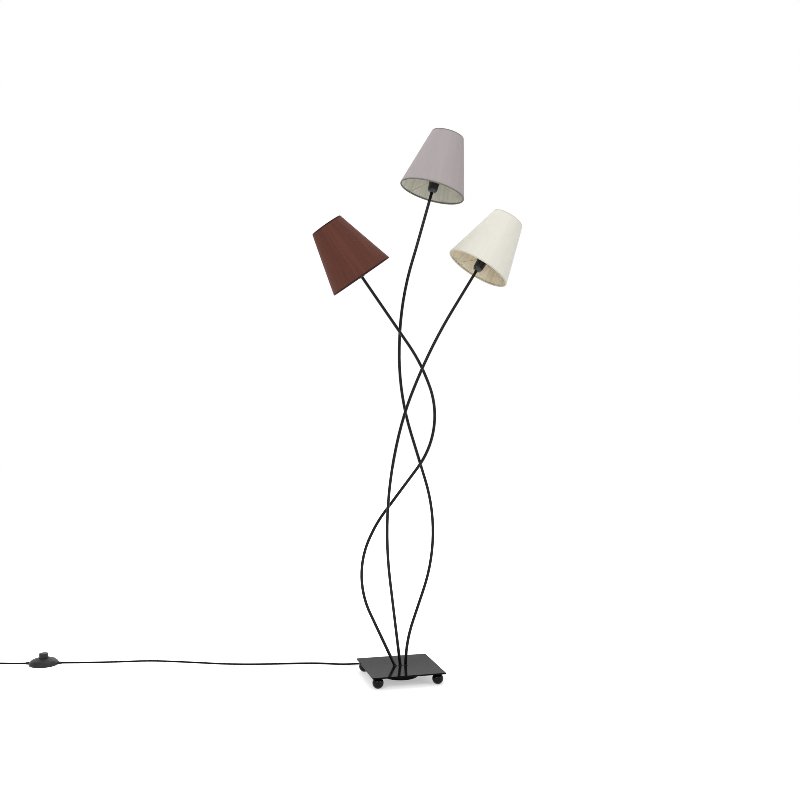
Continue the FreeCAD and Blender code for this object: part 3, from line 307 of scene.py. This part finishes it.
def woven(name, colour, painted_fold_shadow, slub, sheen, sheen_tint, glow):
    """A plain weave with slubs that run up the shade, and with a painted shadow, a darker colour, in the
    fold where it turns round the wires. Glow is the share of the light that comes through it."""
    finish = Finish(
        name,
        colour,
        0.72,
        Sheen_Weight=sheen,
        Sheen_Roughness=0.45,
        Sheen_Tint=sheen_tint,
        Specular_IOR_Level=0.12,
    )
    place = finish.coordinates(cloth=True)
    separate = finish.tree.nodes.new("ShaderNodeSeparateXYZ")
    finish.link(place, separate.inputs["Vector"])
    # one thread over and the next one under make a whole wave
    wave = math.pi / THREAD
    warp = finish.math("SINE", finish.math("MULTIPLY", separate.outputs["X"], wave))
    weft = finish.math("SINE", finish.math("MULTIPLY", separate.outputs["Y"], wave))
    crossing = finish.math("MULTIPLY", warp, weft)
    fine_streaks = finish.noise(finish.coordinates(FINE_STREAKS, cloth=True), 1.0, 4.0, 0.6)
    broad_bands = finish.noise(finish.coordinates(BROAD_BANDS, cloth=True), 1.0, 2.0)
    weft_slubs = finish.noise(finish.coordinates(WEFT_SLUBS, cloth=True), 1.0, 3.0, 0.6)
    streaks = finish.math(
        "ADD",
        finish.math("MULTIPLY", fine_streaks, STREAK_SHARE),
        finish.math(
            "ADD",
            finish.math("MULTIPLY", broad_bands, BAND_SHARE),
            finish.math("MULTIPLY", weft_slubs, SLUB_SHARE),
        ),
    )
    finish.colour(streaks, scaled(colour, 1 - slub), scaled(colour, 1 + slub * 0.8), 0.38, 0.62)
    # painted shadow: near each cut end the cloth is darker, in its fold round the wire
    finish.painted_fold_shadow(separate.outputs["Z"], painted_fold_shadow)
    finish.roughness(broad_bands, 0.62, 0.8)
    finish.bump(crossing, WEAVE_DEPTH, 0.8)
    finish.bump(finish.math("ADD", fine_streaks, weft_slubs), SLUB_DEPTH, 0.6)
    if glow:
        # light that comes through the cloth from its other side
        through = finish.tree.nodes.new("ShaderNodeBsdfTranslucent")
        through.inputs["Color"].default_value = colour
        blend = finish.node("ShaderNodeMixShader", Fac=glow)
        output = finish.tree.nodes["Material Output"]
        finish.link(finish.shader.outputs["BSDF"], blend.inputs[1])
        finish.link(through.outputs["BSDF"], blend.inputs[2])
        finish.link(blend.outputs["Shader"], output.inputs["Surface"])
    return finish.material


def lining(name, colour):
    """The shade's stiff inner foil: smooth, a little glossy, faintly streaked up the shade."""
    finish = Finish(name, colour, 0.32, Specular_IOR_Level=0.5)
    streaks = finish.noise(finish.coordinates(FOIL_STREAKS, cloth=True), 1.0, 3.0)
    finish.colour(streaks, scaled(colour, 0.86), scaled(colour, 1.06))
    finish.roughness(streaks, 0.2, 0.45)
    finish.bump(streaks, FOIL_STREAK_DEPTH, 0.7)
    grain = finish.noise(finish.coordinates(FOIL_GRAIN, cloth=True), 1.0, 2.0)
    finish.bump(grain, FOIL_GRAIN_DEPTH)
    return finish.material


def frosted_glass(name):
    """Glass that scatters the light on its way through, as a matt bulb does."""
    finish = Finish(name, (0.93, 0.93, 0.92, 1), 0.28, Transmission_Weight=0.35, IOR=1.45)
    grain = finish.noise(finish.coordinates(), FROST)
    finish.roughness(grain, 0.22, 0.36)
    finish.bump(grain, FROST_DEPTH)
    return finish.material


finishes = {
    "plate": powder_coat("plate_enamel", tint(17, 17, 18), 0.12, shine=0.018),
    "dish": powder_coat("dish_enamel", tint(12, 12, 12), 0.35, shine=0.06),
    "arm": powder_coat("arm_enamel", tint(9, 9, 9), 0.26, shine=0.16),
    "weld": powder_coat("weld_enamel", tint(17, 17, 17), 0.4, shine=0.15),
    "foot": moulded("foot_gloss", tint(7, 7, 7), 0.16, grain=400.0, depth=0.008, shine=0.14),
    "holder": moulded("holder_plastic", tint(22, 22, 23), 0.33, shine=0.45),
    "switch": moulded("switch_plastic", tint(38, 38, 39), 0.38, grain=1100.0, depth=0.05, shine=0.2),
    "button": moulded("button_plastic", tint(38, 38, 39), 0.36, grain=1100.0, depth=0.04, shine=0.2),
    "terminal": moulded("terminal_plastic", tint(222, 220, 210), 0.45),
    "cord": moulded("cord_jacket", tint(12, 12, 13), 0.36, grain=260.0, depth=0.05, shine=0.06),
    "lead": moulded("lead_jacket", tint(40, 40, 40), 0.4, shine=0.3),
    "relief": moulded("relief_rubber", tint(24, 24, 24), 0.5, shine=0.2),
    "tie": moulded("tie_plastic", tint(24, 24, 24), 0.4, shine=0.3),
    "plug": moulded("plug_rubber", tint(30, 30, 30), 0.5, grain=900.0, depth=0.05, shine=0.25),
    "zinc": bare_metal("zinc_steel", tint(190, 192, 196), 0.35),
    "spring": bare_metal("spring_steel", tint(160, 162, 165), 0.3),
    "brass": bare_metal("contact_brass", tint(212, 178, 106), 0.3),
    "nickel": bare_metal("pin_nickel", tint(205, 203, 196), 0.22, grain=(1, 1, 6)),
    "bulb_metal": bare_metal("bulb_metal", tint(200, 200, 202), 0.28),
    "glass": frosted_glass("bulb_glass"),
    "wire": powder_coat("shade_wire", tint(196, 189, 170), 0.45, shine=0.2),
    # The second colour of each cloth is a painted shadow: darker, for the fold where the cloth turns
    # round the wires
    "brown": woven(
        "shade_brown", tint(93, 54, 44), painted_fold_shadow=tint(46, 26, 23),
        slub=0.26, sheen=0.02, sheen_tint=(0.9, 0.6, 0.5, 1), glow=0.0,
    ),
    "cream": woven(
        "shade_cream", tint(238, 236, 225), painted_fold_shadow=tint(222, 218, 202),
        slub=0.03, sheen=0.1, sheen_tint=(1, 1, 0.95, 1), glow=0.12,
    ),
    "grey": woven(
        "shade_grey", tint(175, 166, 167), painted_fold_shadow=tint(128, 125, 118),
        slub=0.05, sheen=0.08, sheen_tint=(1, 1, 1, 1), glow=0.06,
    ),
    # All three foils are the same off-white; each one's colour here is tinted with painted light, as the
    # light that comes through its shade's cloth would tint and dim it
    "brown_lining": lining("lining_brown", tint(205, 196, 180)),
    "cream_lining": lining("lining_cream", tint(238, 226, 199)),
    "grey_lining": lining("lining_grey", tint(224, 222, 209)),
}

# What each construction piece is made of, by the start of its name: the first start that fits counts
CAD_FINISHES = {
    "base_plate": "plate",
    "foot_studs": "zinc",
    "foot_": "foot",
    "wiring_dish": "dish",
    "dish_": "zinc",
    "terminal_block": "terminal",
    "terminal_screws": "zinc",
    "cord_grip": "relief",
    "cord_relief": "relief",
    "arm_": "arm",
    "lead_": "lead",
    "holder_contacts": "brass",
    "holder_": "holder",
    "shade_ring": "holder",
    "bulb_cap": "bulb_metal",
    "bulb_glass": "glass",
    "shade_frame": "wire",
    "shade_top_ring": "wire",
    "switch_contacts": "terminal",
    "switch_spring": "spring",
    "switch_screws": "zinc",
    "switch_reliefs": "relief",
    "switch_base": "relief",
    "switch_button": "button",
    "switch_": "switch",
    "cord_tie": "tie",
    "plug_pins": "nickel",
    "plug_body": "plug",
}


def dress_cad_nodes():
    """Gives the construction's own pieces their materials; the rest are replaced further on."""
    for name, thing in frame["nodes"].items():
        chosen = next((key for start, key in CAD_FINISHES.items() if name.startswith(start)), None)
        if chosen is None:
            continue
        thing.data.materials.clear()
        thing.data.materials.append(finishes[chosen])


# ---------------------------------------------------------------------------------------------
# Shades
# ---------------------------------------------------------------------------------------------

CLOTH = 0.5 * MM
SEAM_LAP = 8 * MM
COLUMNS = 216
WALL_ROWS = 26
MEAN_RADIUS = (SHADE_BOTTOM + SHADE_TOP) / 2
# The hem runs this far round its wire, in degrees, and lies inside and beyond the wire as loosely as
# these shares of the cloth's thickness say
HEM_TURN = 250
HEM_STEP = 10
HEM_INSIDE = 0.6
HEM_BEYOND = 0.8
# How far the cloth on its foil is out of round, as (waves round the shade, depth, phase); how far
# from each rim that begins, and what it is shifted by from one shade to the next
RIPPLES = ((5, 0.22 * MM, 0.4), (9, 0.16 * MM, 2.1), (14, 0.09 * MM, 4.4))
CALM_BELOW = 35 * MM
CALM_ABOVE = 30 * MM
RIPPLE_SHIFT = 1.7
# Which way the seams look, and how the lap lies: its rise in thicknesses of cloth, and the share of
# its width over which it rises
SEAM_WAY = Vector((0.25, 1, 0))
LAP_RISE = 1.25
LAP_SLOPE = 0.7
# The foil: its outer face, in thicknesses of cloth from the shade's outside, and its way to the rims
FOIL_DEPTH = 1.05
FOIL_MARGIN = 2 * MM


def head_place(colour):
    """The middle of a shade's lower rim, its axis, and the turn that stands +Z along it."""
    joint = next(j for j in frame["joints"] if j["name"] == colour + "_shade_turn")
    axis = Vector(joint["axis"]).normalized()
    rim = Vector(joint["pos_m"]) - axis * (HUB_HEIGHT - HOLDER_DROP[colour])
    return rim, axis, UP.rotation_difference(axis).to_matrix()


def outer_radius(height):
    """Radius of the shade's outside."""
    return SHADE_BOTTOM - height * LEAN


def wire_middle(height):
    """Radius of the middle of a ring of wire that lies just inside the shade's wall."""
    return outer_radius(height) - SHADE_WALL - WIRE * math.hypot(1, LEAN) - WIRE_GAP


def ripple(angle, height, shift):
    """The wall's unevenness, which dies out towards the rings."""
    calm = smooth(0, CALM_BELOW, height) * smooth(0, CALM_ABOVE, SHADE_HEIGHT - height)
    waves = sum(depth * np.sin(count * angle + phase + shift) for count, depth, phase in RIPPLES)
    return waves * calm


def hem_line(first, last, level):
    """The cloth's middle line, (radius, height), round the ring of wire at a level."""
    inside = WIRE + CLOTH * HEM_INSIDE
    outside = WIRE + WIRE_GAP + SHADE_WALL - CLOTH / 2
    beyond = WIRE + CLOTH * HEM_BEYOND
    line = []
    for degrees in range(first, last + 1, HEM_STEP):
        angle = math.radians(degrees)
        reach = outside if math.cos(angle) > 0 else inside
        line.append((wire_middle(level) + reach * math.cos(angle), level + beyond * math.sin(angle)))
    return line


def cloth_profile():
    """The cloth's middle line, (radius, height): from behind the lower ring, over the wall, to
    behind the upper ring."""
    low = WIRE + WIRE_GAP
    high = SHADE_HEIGHT - low
    line = hem_line(-HEM_TURN, 0, low)
    for row in range(1, WALL_ROWS):
        height = low + (high - low) * row / WALL_ROWS
        line.append((outer_radius(height) - CLOTH / 2, height))
    line += hem_line(0, HEM_TURN, high)
    return np.array(line)


def offset_line(line, distance):
    """A profile moved sideways, to its outer side."""
    way = np.gradient(line, axis=0)
    way /= np.linalg.norm(way, axis=1)[:, None]
    return line + np.stack([way[:, 1], -way[:, 0]], axis=1) * distance


def turned_points(line, angles, shift, lap, rim, turn):
    """A profile turned about the shade's axis, with its ripple and the lap at its seam."""
    radius = line[:, 0][:, None] + ripple(angles[None, :], line[:, 1][:, None], shift) + lap[None, :]
    height = np.repeat(line[:, 1][:, None], len(angles), axis=1)
    local = np.stack([radius * np.cos(angles), radius * np.sin(angles), height], axis=2)
    return local.reshape(-1, 3) @ np.array(turn).T + np.array(rim)


def make_shade(colour, shift):
    """The cloth, one strip of thin shell with its hems and lap, and the foil behind it."""
    rim, _, turn = head_place(colour)
    behind = turn.transposed() @ SEAM_WAY
    seam = math.atan2(behind.y, behind.x)
    middle = cloth_profile()
    lap_angle = SEAM_LAP / MEAN_RADIUS
    angles = seam + np.linspace(0, 2 * math.pi + lap_angle, COLUMNS)
    past = angles - seam - 2 * math.pi
    lap = CLOTH * LAP_RISE * smooth(-lap_angle * LAP_SLOPE, 0, past)
    skins = [
        turned_points(offset_line(middle, side * CLOTH / 2), angles, shift, lap, rim, turn)
        for side in (1, -1)
    ]
    rows = len(middle)
    count = rows * COLUMNS
    faces = grid_faces(rows, COLUMNS)
    faces += [tuple(count + index for index in reversed(face)) for face in grid_faces(rows, COLUMNS)]
    # the strip's four edges are closed between the two skins
    for row in range(rows - 1):
        for column in (0, COLUMNS - 1):
            here = row * COLUMNS + column
            faces.append((here, here + COLUMNS, here + COLUMNS + count, here + count))
    for column in range(COLUMNS - 1):
        for here in (column, (rows - 1) * COLUMNS + column):
            faces.append((here, here + 1, here + 1 + count, here + count))
    along = np.concatenate([[0], np.cumsum(np.linalg.norm(np.diff(middle, axis=0), axis=1))])
    # place on the flat cloth: round the shade, along the profile, and from the nearer cut end
    flat = np.zeros((rows, COLUMNS, 3))
    flat[:, :, 0] = (angles - seam) * MEAN_RADIUS
    flat[:, :, 1] = along[:, None]
    flat[:, :, 2] = np.minimum(along, along[-1] - along)[:, None]
    places = np.concatenate([flat.reshape(-1, 3)] * 2)
    cloth = mesh_piece("shade_cloth_" + colour, np.concatenate(skins), faces, finishes[colour], places)
    foil = make_lining(colour, shift, rim, turn, seam)
    body = colour + "_shade"
    for piece in (cloth, foil):
        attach(piece, body)
    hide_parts("shade_" + colour)


def make_lining(colour, shift, rim, turn, seam):
    """The stiff foil behind the cloth, a closed shell between the two rings."""
    heights = np.linspace(FOIL_MARGIN, SHADE_HEIGHT - FOIL_MARGIN, WALL_ROWS)
    outside = np.stack([outer_radius(heights) - CLOTH * FOIL_DEPTH, heights], axis=1)
    inside = np.stack([outer_radius(heights) - SHADE_WALL, heights], axis=1)[::-1]
    loop = np.concatenate([outside, inside])
    angles = seam + np.linspace(0, 2 * math.pi, COLUMNS, endpoint=False)
    still = np.zeros(COLUMNS)
    points = turned_points(loop, angles, shift, still, rim, turn)
    flat = np.zeros((len(loop), COLUMNS, 3))
    # the texture goes round without a step: it takes the place on a ring, not the angle
    flat[:, :, 0] = MEAN_RADIUS * np.cos(angles)
    flat[:, :, 2] = MEAN_RADIUS * np.sin(angles)
    flat[:, :, 1] = loop[:, 1][:, None]
    faces = grid_faces(len(loop), COLUMNS, closed_rows=True, closed_columns=True)
    finish = finishes[colour + "_lining"]
    return mesh_piece("shade_lining_" + colour, points, faces, finish, flat.reshape(-1, 3))


# ---------------------------------------------------------------------------------------------
# Lampholders' lower caps, ribbed, and the welds on the plate
# ---------------------------------------------------------------------------------------------

RIBS = 18
RIB_DEPTH = 0.55 * MM
# Below 1 the grooves between the ribs are narrow and the ribs broad
RIB_BREADTH = 0.6
# The ribs' grooves begin at the first height and are whole at the second; they end below the cap's
# top by the third and fade over the last
RIB_SPAN = (3.5 * MM, 8 * MM, 2 * MM, 2.5 * MM)
CAP_COLUMNS = RIBS * 10
CAP_BORE = ARM_RADIUS + 0.06 * MM
CAP_WALL = 2 * MM
CAP_FLOOR = 12 * MM
# Width and height of the bevels round the arm's hole and round the cap's top
HOLE_BEVEL = (0.5 * MM, 0.6 * MM)
TOP_BEVEL = (0.4 * MM, 0.5 * MM)
# The nose's round, how many degrees of it there are, and its steps
NOSE_ROUND = 3.2 * MM
NOSE_SWEEP = 70
NOSE_STEPS = 8
# The side's steps, and the share of its height over which it swells out to the waist
SIDE_STEPS = 13
SIDE_SWELL = 0.35


def cap_profile():
    """(radius, height) from the arm's hole round the nose and up the cap, then down inside it."""
    line = [(CAP_BORE, HOLE_BEVEL[1]), (CAP_BORE + HOLE_BEVEL[0], 0)]
    for step in range(NOSE_STEPS + 1):
        angle = math.radians(-90 + NOSE_SWEEP * step / NOSE_STEPS)
        radius = CAP_NOSE - NOSE_ROUND + NOSE_ROUND * math.cos(angle)
        line.append((radius, NOSE_ROUND + NOSE_ROUND * math.sin(angle)))
    start_radius, start_height = line[-1]
    # the side swells out quickly to the waist and then runs on to the top nearly straight
    for step in range(1, SIDE_STEPS + 1):
        share = step / SIDE_STEPS
        height = start_height + (CAP_LENGTH - TOP_BEVEL[1] - start_height) * share
        waist = CAP_WAIST - (CAP_WAIST - start_radius) * (1 - min(1, share / SIDE_SWELL)) ** 2
        line.append((waist + (CAP_TOP - CAP_WAIST) * smooth(0.1, 1.0, share), height))
    line.append((CAP_TOP - TOP_BEVEL[0], CAP_LENGTH))
    line.append((CAP_TOP - CAP_WALL, CAP_LENGTH))
    line.append((CAP_TOP - CAP_WALL, CAP_FLOOR))
    line.append((CAP_BORE, CAP_FLOOR))
    return np.array(line)


def make_cap(colour):
    """A lampholder's lower cap, with shallow grooves between broad ribs up its side."""
    rim, axis, turn = head_place(colour)
    foot = rim - axis * HOLDER_DROP[colour]
    line = cap_profile()
    angles = np.linspace(0, 2 * math.pi, CAP_COLUMNS, endpoint=False)
    ridge = 0.5 - 0.5 * np.cos(RIBS * angles)
    groove = RIB_DEPTH * (1 - ridge ** RIB_BREADTH)
    begin, whole, short, fade = RIB_SPAN
    where = smooth(begin, whole, line[:, 1]) * smooth(0, fade, CAP_LENGTH - short - line[:, 1])
    # only the side has them: not the nose's underside, and not the profile's last four points inside
    outer = (line[:, 0] > CAP_NOSE - 2 * MM) & (np.arange(len(line)) < len(line) - 4)
    radius = line[:, 0][:, None] - groove[None, :] * (where * outer)[:, None]
    height = np.repeat(line[:, 1][:, None], CAP_COLUMNS, axis=1)
    local = np.stack([radius * np.cos(angles), radius * np.sin(angles), height], axis=2).reshape(-1, 3)
    points = local @ np.array(turn).T + np.array(foot)
    faces = grid_faces(len(line), CAP_COLUMNS, closed_rows=True, closed_columns=True)
    cap = mesh_piece("ribbed_cap_" + colour, points, faces, finishes["holder"])
    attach(cap, "base")
    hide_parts("holder_cap_" + colour)


PLATE_TOP = 33.4 * MM
# Each arm's hole in the plate, and the way that its first straight run goes, in mm
ARM_FEET = {
    "brown": ((-15, 0), (-113, 33, 248.6)),
    "cream": ((0, 0), (-52, -4, 414.6)),
    "grey": ((15, 0), (0, -3, 63.6)),
}
BEAD_COLUMNS = 120
BEAD_REACH = 2.1 * MM
# The bead is sunk this far into the plate
BEAD_ROOT = 0.2 * MM
# Its drops, and how unlike they are, in shares of its reach
BEAD_WAVES = 15
DROP_SIZE = 0.14
DROP_SPREAD = 0.06
# How far out and how far up the bead's outline runs, in shares of its reach
BEAD_OUTLINE = (
    (-0.4, -0.3), (1.0, -0.1), (0.94, 0.16), (0.62, 0.5), (0.3, 0.78), (0.06, 1.0), (-0.4, 0.9)
)


def make_weld(colour):
    """The bead round an arm's foot: it lies on the plate and on the tube, in overlapping drops."""
    hole, way = ARM_FEET[colour]
    lean = Vector(way).normalized()
    slope = np.array((lean.x, lean.y)) / lean.z
    downhill = slope / np.linalg.norm(slope)
    angles = np.linspace(0, 2 * math.pi, BEAD_COLUMNS, endpoint=False)
    circle = np.stack([np.cos(angles), np.sin(angles)], axis=1)
    drops = (
        1
        + DROP_SIZE * np.abs(np.sin(angles * BEAD_WAVES / 2))
        - DROP_SPREAD * np.sin(3 * angles + 1)
    )
    points = []
    for out, up in BEAD_OUTLINE:
        height = np.maximum(up * BEAD_REACH * drops, -BEAD_ROOT)
        across = circle * (ARM_RADIUS + out * BEAD_REACH * drops)[:, None]
        # the tube stands askew, so its outline on the plate is longer the way it leans
        across += (across @ downhill)[:, None] * downhill * (1 / lean.z - 1)
        flat = across + height[:, None] * slope + np.array(hole) * MM
        points.append(np.column_stack([flat, PLATE_TOP + height]))
    faces = grid_faces(len(BEAD_OUTLINE), BEAD_COLUMNS, closed_rows=True, closed_columns=True)
    bead = mesh_piece("weld_bead_" + colour, np.concatenate(points), faces, finishes["weld"])
    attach(bead, "base")


# ---------------------------------------------------------------------------------------------
# Cord: the route's points, as the construction has them, in mm
# ---------------------------------------------------------------------------------------------

CORD_LAMP = (
    (-9.8, 19.7, 15.6),
    (-22.3, 44.7, 15.7),
    (-44.2, 88.6, 15.5),
    (-62, 119, 11.5),
    (-90, 149, 4.2),
    (-135, 161.5, 2.5),
    (-189, 189, 2.5),
    (-255, 204, 2.5),
    (-321, 214, 2.5),
    (-392, 229, 2.5),
    (-459, 251, 2.5),
    (-526, 282, 2.5),
    (-593, 312, 2.5),
    (-659, 338, 2.5),
    (-725, 346, 2.5),
    (-775, 352.5, 2.5),
    (-829, 362.5, 2.6),
    (-884.3, 370.6, 3.5),
    (-924, 378.4, 3.8),
)
CORD_SUPPLY = (
    (-982, 389.6, 3.8),
    (-1021.7, 397.4, 3.5),
    (-1074, 417, 2.6),
    (-1118, 430, 3.1),
)
CORD_TAIL = (
    (-1174, 390, 7.4),
    (-1182, 361, 6.9),
    (-1191, 336, 6.9),
)
COIL_MIDDLE = Vector((-1140, 402, 0))
COIL_POINTS = 16
# Turn by turn: the coil's radius and the height of the cord's middle, in mm
COIL_TURNS = ((32.5, 3.1), (27.5, 3.1), (22.5, 3.1), (25, 7.43), (30, 7.43))
# The last share of a turn, in which the cord moves over to the next one
MOVE_OVER = 0.3
COIL_START = math.radians(82)
COIL_END = math.radians(165)


def coil_route():
    """The coil's turns: each runs round at its own radius and moves over to the next one."""
    total = 2 * math.pi * len(COIL_TURNS) + COIL_END - COIL_START
    steps = int(total / (2 * math.pi) * COIL_POINTS)
    # a spline through these control points runs a little inside them
    outward = 1 / math.cos(math.pi / COIL_POINTS)
    route = []
    for step in range(steps + 1):
        turned = total * step / steps / (2 * math.pi)
        turn = min(int(turned), len(COIL_TURNS) - 1)
        after = min(turn + 1, len(COIL_TURNS) - 1)
        share = smooth(1 - MOVE_OVER, 1, turned - turn)
        radius = COIL_TURNS[turn][0] * (1 - share) + COIL_TURNS[after][0] * share
        height = COIL_TURNS[turn][1] * (1 - share) + COIL_TURNS[after][1] * share
        angle = COIL_START + turned * 2 * math.pi
        flat = Vector((math.cos(angle), math.sin(angle), 0)) * radius * outward
        route.append(tuple(COIL_MIDDLE + flat + UP * height))
    return route


def cord_curve(name, route):
    """A round cord along a smooth spline whose control points are the route's points."""
    curve = bpy.data.curves.new(name, "CURVE")
    curve.dimensions = "3D"
    spline = curve.splines.new("NURBS")
    spline.points.add(len(route) - 1)
    for point, place in zip(spline.points, route):
        point.co = (*(Vector(place) * MM), 1)
    spline.order_u = 3
    spline.use_endpoint_u = True
    spline.resolution_u = 12
    curve.bevel_depth = CORD_RADIUS
    curve.bevel_resolution = 6
    curve.use_fill_caps = True
    curve.materials.append(finishes["cord"])
    cord = linked(name, curve)
    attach(cord, "base")
    return cord


def make_cords():
    """The cord from the lamp to the switch, and the one from the switch through the coil to the plug."""
    first = cord_curve("power_cord_lamp", CORD_LAMP)
    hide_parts("cord_lamp")
    second = cord_curve("power_cord_supply", CORD_SUPPLY + tuple(coil_route()) + CORD_TAIL)
    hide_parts("cord_supply", "cord_coil", "cord_tail")


# ---------------------------------------------------------------------------------------------
# Studio: pale floor, white surroundings, soft lamps, camera
# ---------------------------------------------------------------------------------------------

FLOOR_SIZE = 14.0
FLOOR_COLOUR = (0.9, 0.9, 0.9, 1)
# Seen directly, the floor glows a little near the lamp and is plain white from FADE_END outwards
FLOOR_LIFT = 0.42
FADE_START = 0.25
FADE_END = 0.75


def seen_directly(tree):
    """1 for rays from the camera and for those that metal or glass sends on, else 0."""
    path = tree.nodes.new("ShaderNodeLightPath")
    total = path.outputs["Is Camera Ray"]
    for name in ("Is Glossy Ray", "Is Transmission Ray"):
        add = tree.nodes.new("ShaderNodeMath")
        add.operation = "MAXIMUM"
        tree.links.new(total, add.inputs[0])
        tree.links.new(path.outputs[name], add.inputs[1])
        total = add.outputs["Value"]
    return total


def make_floor():
    """A pale floor that keeps the object's shadow and runs out to plain white round it."""
    half = FLOOR_SIZE / 2
    points = [(-half, -half, 0), (half, -half, 0), (half, half, 0), (-half, half, 0)]
    material = bpy.data.materials.new("floor")
    material.use_nodes = True
    tree = material.node_tree
    shader = tree.nodes["Principled BSDF"]
    shader.inputs["Base Color"].default_value = FLOOR_COLOUR
    shader.inputs["Roughness"].default_value = 1.0
    shader.inputs["Specular IOR Level"].default_value = 0.0
    shader.inputs["Emission Color"].default_value = (1, 1, 1, 1)
    place = tree.nodes.new("ShaderNodeTexCoord")
    distance = tree.nodes.new("ShaderNodeVectorMath")
    distance.operation = "LENGTH"
    tree.links.new(place.outputs["Object"], distance.inputs[0])
    fade = tree.nodes.new("ShaderNodeMapRange")
    fade.interpolation_type = "SMOOTHSTEP"
    fade.inputs["From Min"].default_value = FADE_START
    fade.inputs["From Max"].default_value = FADE_END
    fade.inputs["To Min"].default_value = FLOOR_LIFT
    fade.inputs["To Max"].default_value = 1.0
    tree.links.new(distance.outputs["Value"], fade.inputs["Value"])
    strength = tree.nodes.new("ShaderNodeMath")
    strength.operation = "MULTIPLY"
    tree.links.new(fade.outputs["Result"], strength.inputs[1])
    tree.links.new(seen_directly(tree), strength.inputs[0])
    tree.links.new(strength.outputs["Value"], shader.inputs["Emission Strength"])
    floor = mesh_piece("floor", points, [(0, 1, 2, 3)], material)


WORLD_LIGHT = 0.55


def make_world():
    """White where it is seen, and dimmer where it lights the object."""
    world = bpy.data.worlds.new("studio")
    bpy.context.scene.world = world
    world.use_nodes = True
    tree = world.node_tree
    background = tree.nodes["Background"]
    background.inputs["Color"].default_value = (1, 1, 1, 1)
    spread = tree.nodes.new("ShaderNodeMapRange")
    spread.inputs["To Min"].default_value = WORLD_LIGHT
    spread.inputs["To Max"].default_value = 1.0
    tree.links.new(seen_directly(tree), spread.inputs["Value"])
    tree.links.new(spread.outputs["Result"], background.inputs["Strength"])


# Name, place, edge length in metres and power in watts of each square lamp, and what all point at
LAMPS = (
    ("key", (-2.2, -2.6, 2.6), 1.8, 52),
    ("fill", (2.8, -2.4, 1.6), 2.0, 27),
    ("top", (0.2, 0.6, 3.4), 2.2, 30),
    ("back", (0.6, 3.2, 2.0), 2.0, 16),
)
LAMP_TARGET = Vector((0, 0, 0.8))


def soft_lamp(name, place, size, power):
    """A square area light that points at LAMP_TARGET."""
    data = bpy.data.lights.new(name, "AREA")
    data.shape = "SQUARE"
    data.size = size
    data.energy = power
    lamp = linked(name, data)
    lamp.location = place
    lamp.rotation_euler = (LAMP_TARGET - Vector(place)).to_track_quat("-Z", "Y").to_euler()


# The photograph's viewpoint, found from the plate, the feet and the rims of the shades; the sensor
# is in millimetres
VIEW_AZIMUTH = math.radians(-14.635)
VIEW_DISTANCE = 2.7444
VIEW_HEIGHT = 0.7942
VIEW_PITCH = math.radians(-0.768)
VIEW_AIM = math.radians(0.016)
FOCAL_PIXELS = 1009.54
PICTURE_PIXELS = 800
SENSOR = 36.0
CLIP_END = 60.0
# Pixels that one sample is spread over: the photograph's thin lines are crisp
SHARP_FILTER = 0.8


def make_camera():
    """The photograph's camera, level to within a degree."""
    data = bpy.data.cameras.new("camera")
    data.sensor_width = SENSOR
    data.lens = FOCAL_PIXELS / PICTURE_PIXELS * SENSOR
    data.clip_end = CLIP_END
    camera = linked("camera", data)
    camera.location = (
        VIEW_DISTANCE * math.sin(VIEW_AZIMUTH),
        -VIEW_DISTANCE * math.cos(VIEW_AZIMUTH),
        VIEW_HEIGHT,
    )
    camera.rotation_euler = (math.pi / 2 + VIEW_PITCH, 0, VIEW_AZIMUTH + VIEW_AIM)
    bpy.context.scene.camera = camera


# ---------------------------------------------------------------------------------------------
# Build
# ---------------------------------------------------------------------------------------------

bpy.context.scene.view_settings.view_transform = "Standard"
bpy.context.scene.cycles.filter_width = SHARP_FILTER
make_camera()
make_cords()
dress_cad_nodes()
for number, colour in enumerate(COLOURS):
    make_shade(colour, shift=number * RIPPLE_SHIFT)
    make_cap(colour)
    make_weld(colour)
make_floor()
make_world()
for lamp in LAMPS:
    soft_lamp(*lamp)
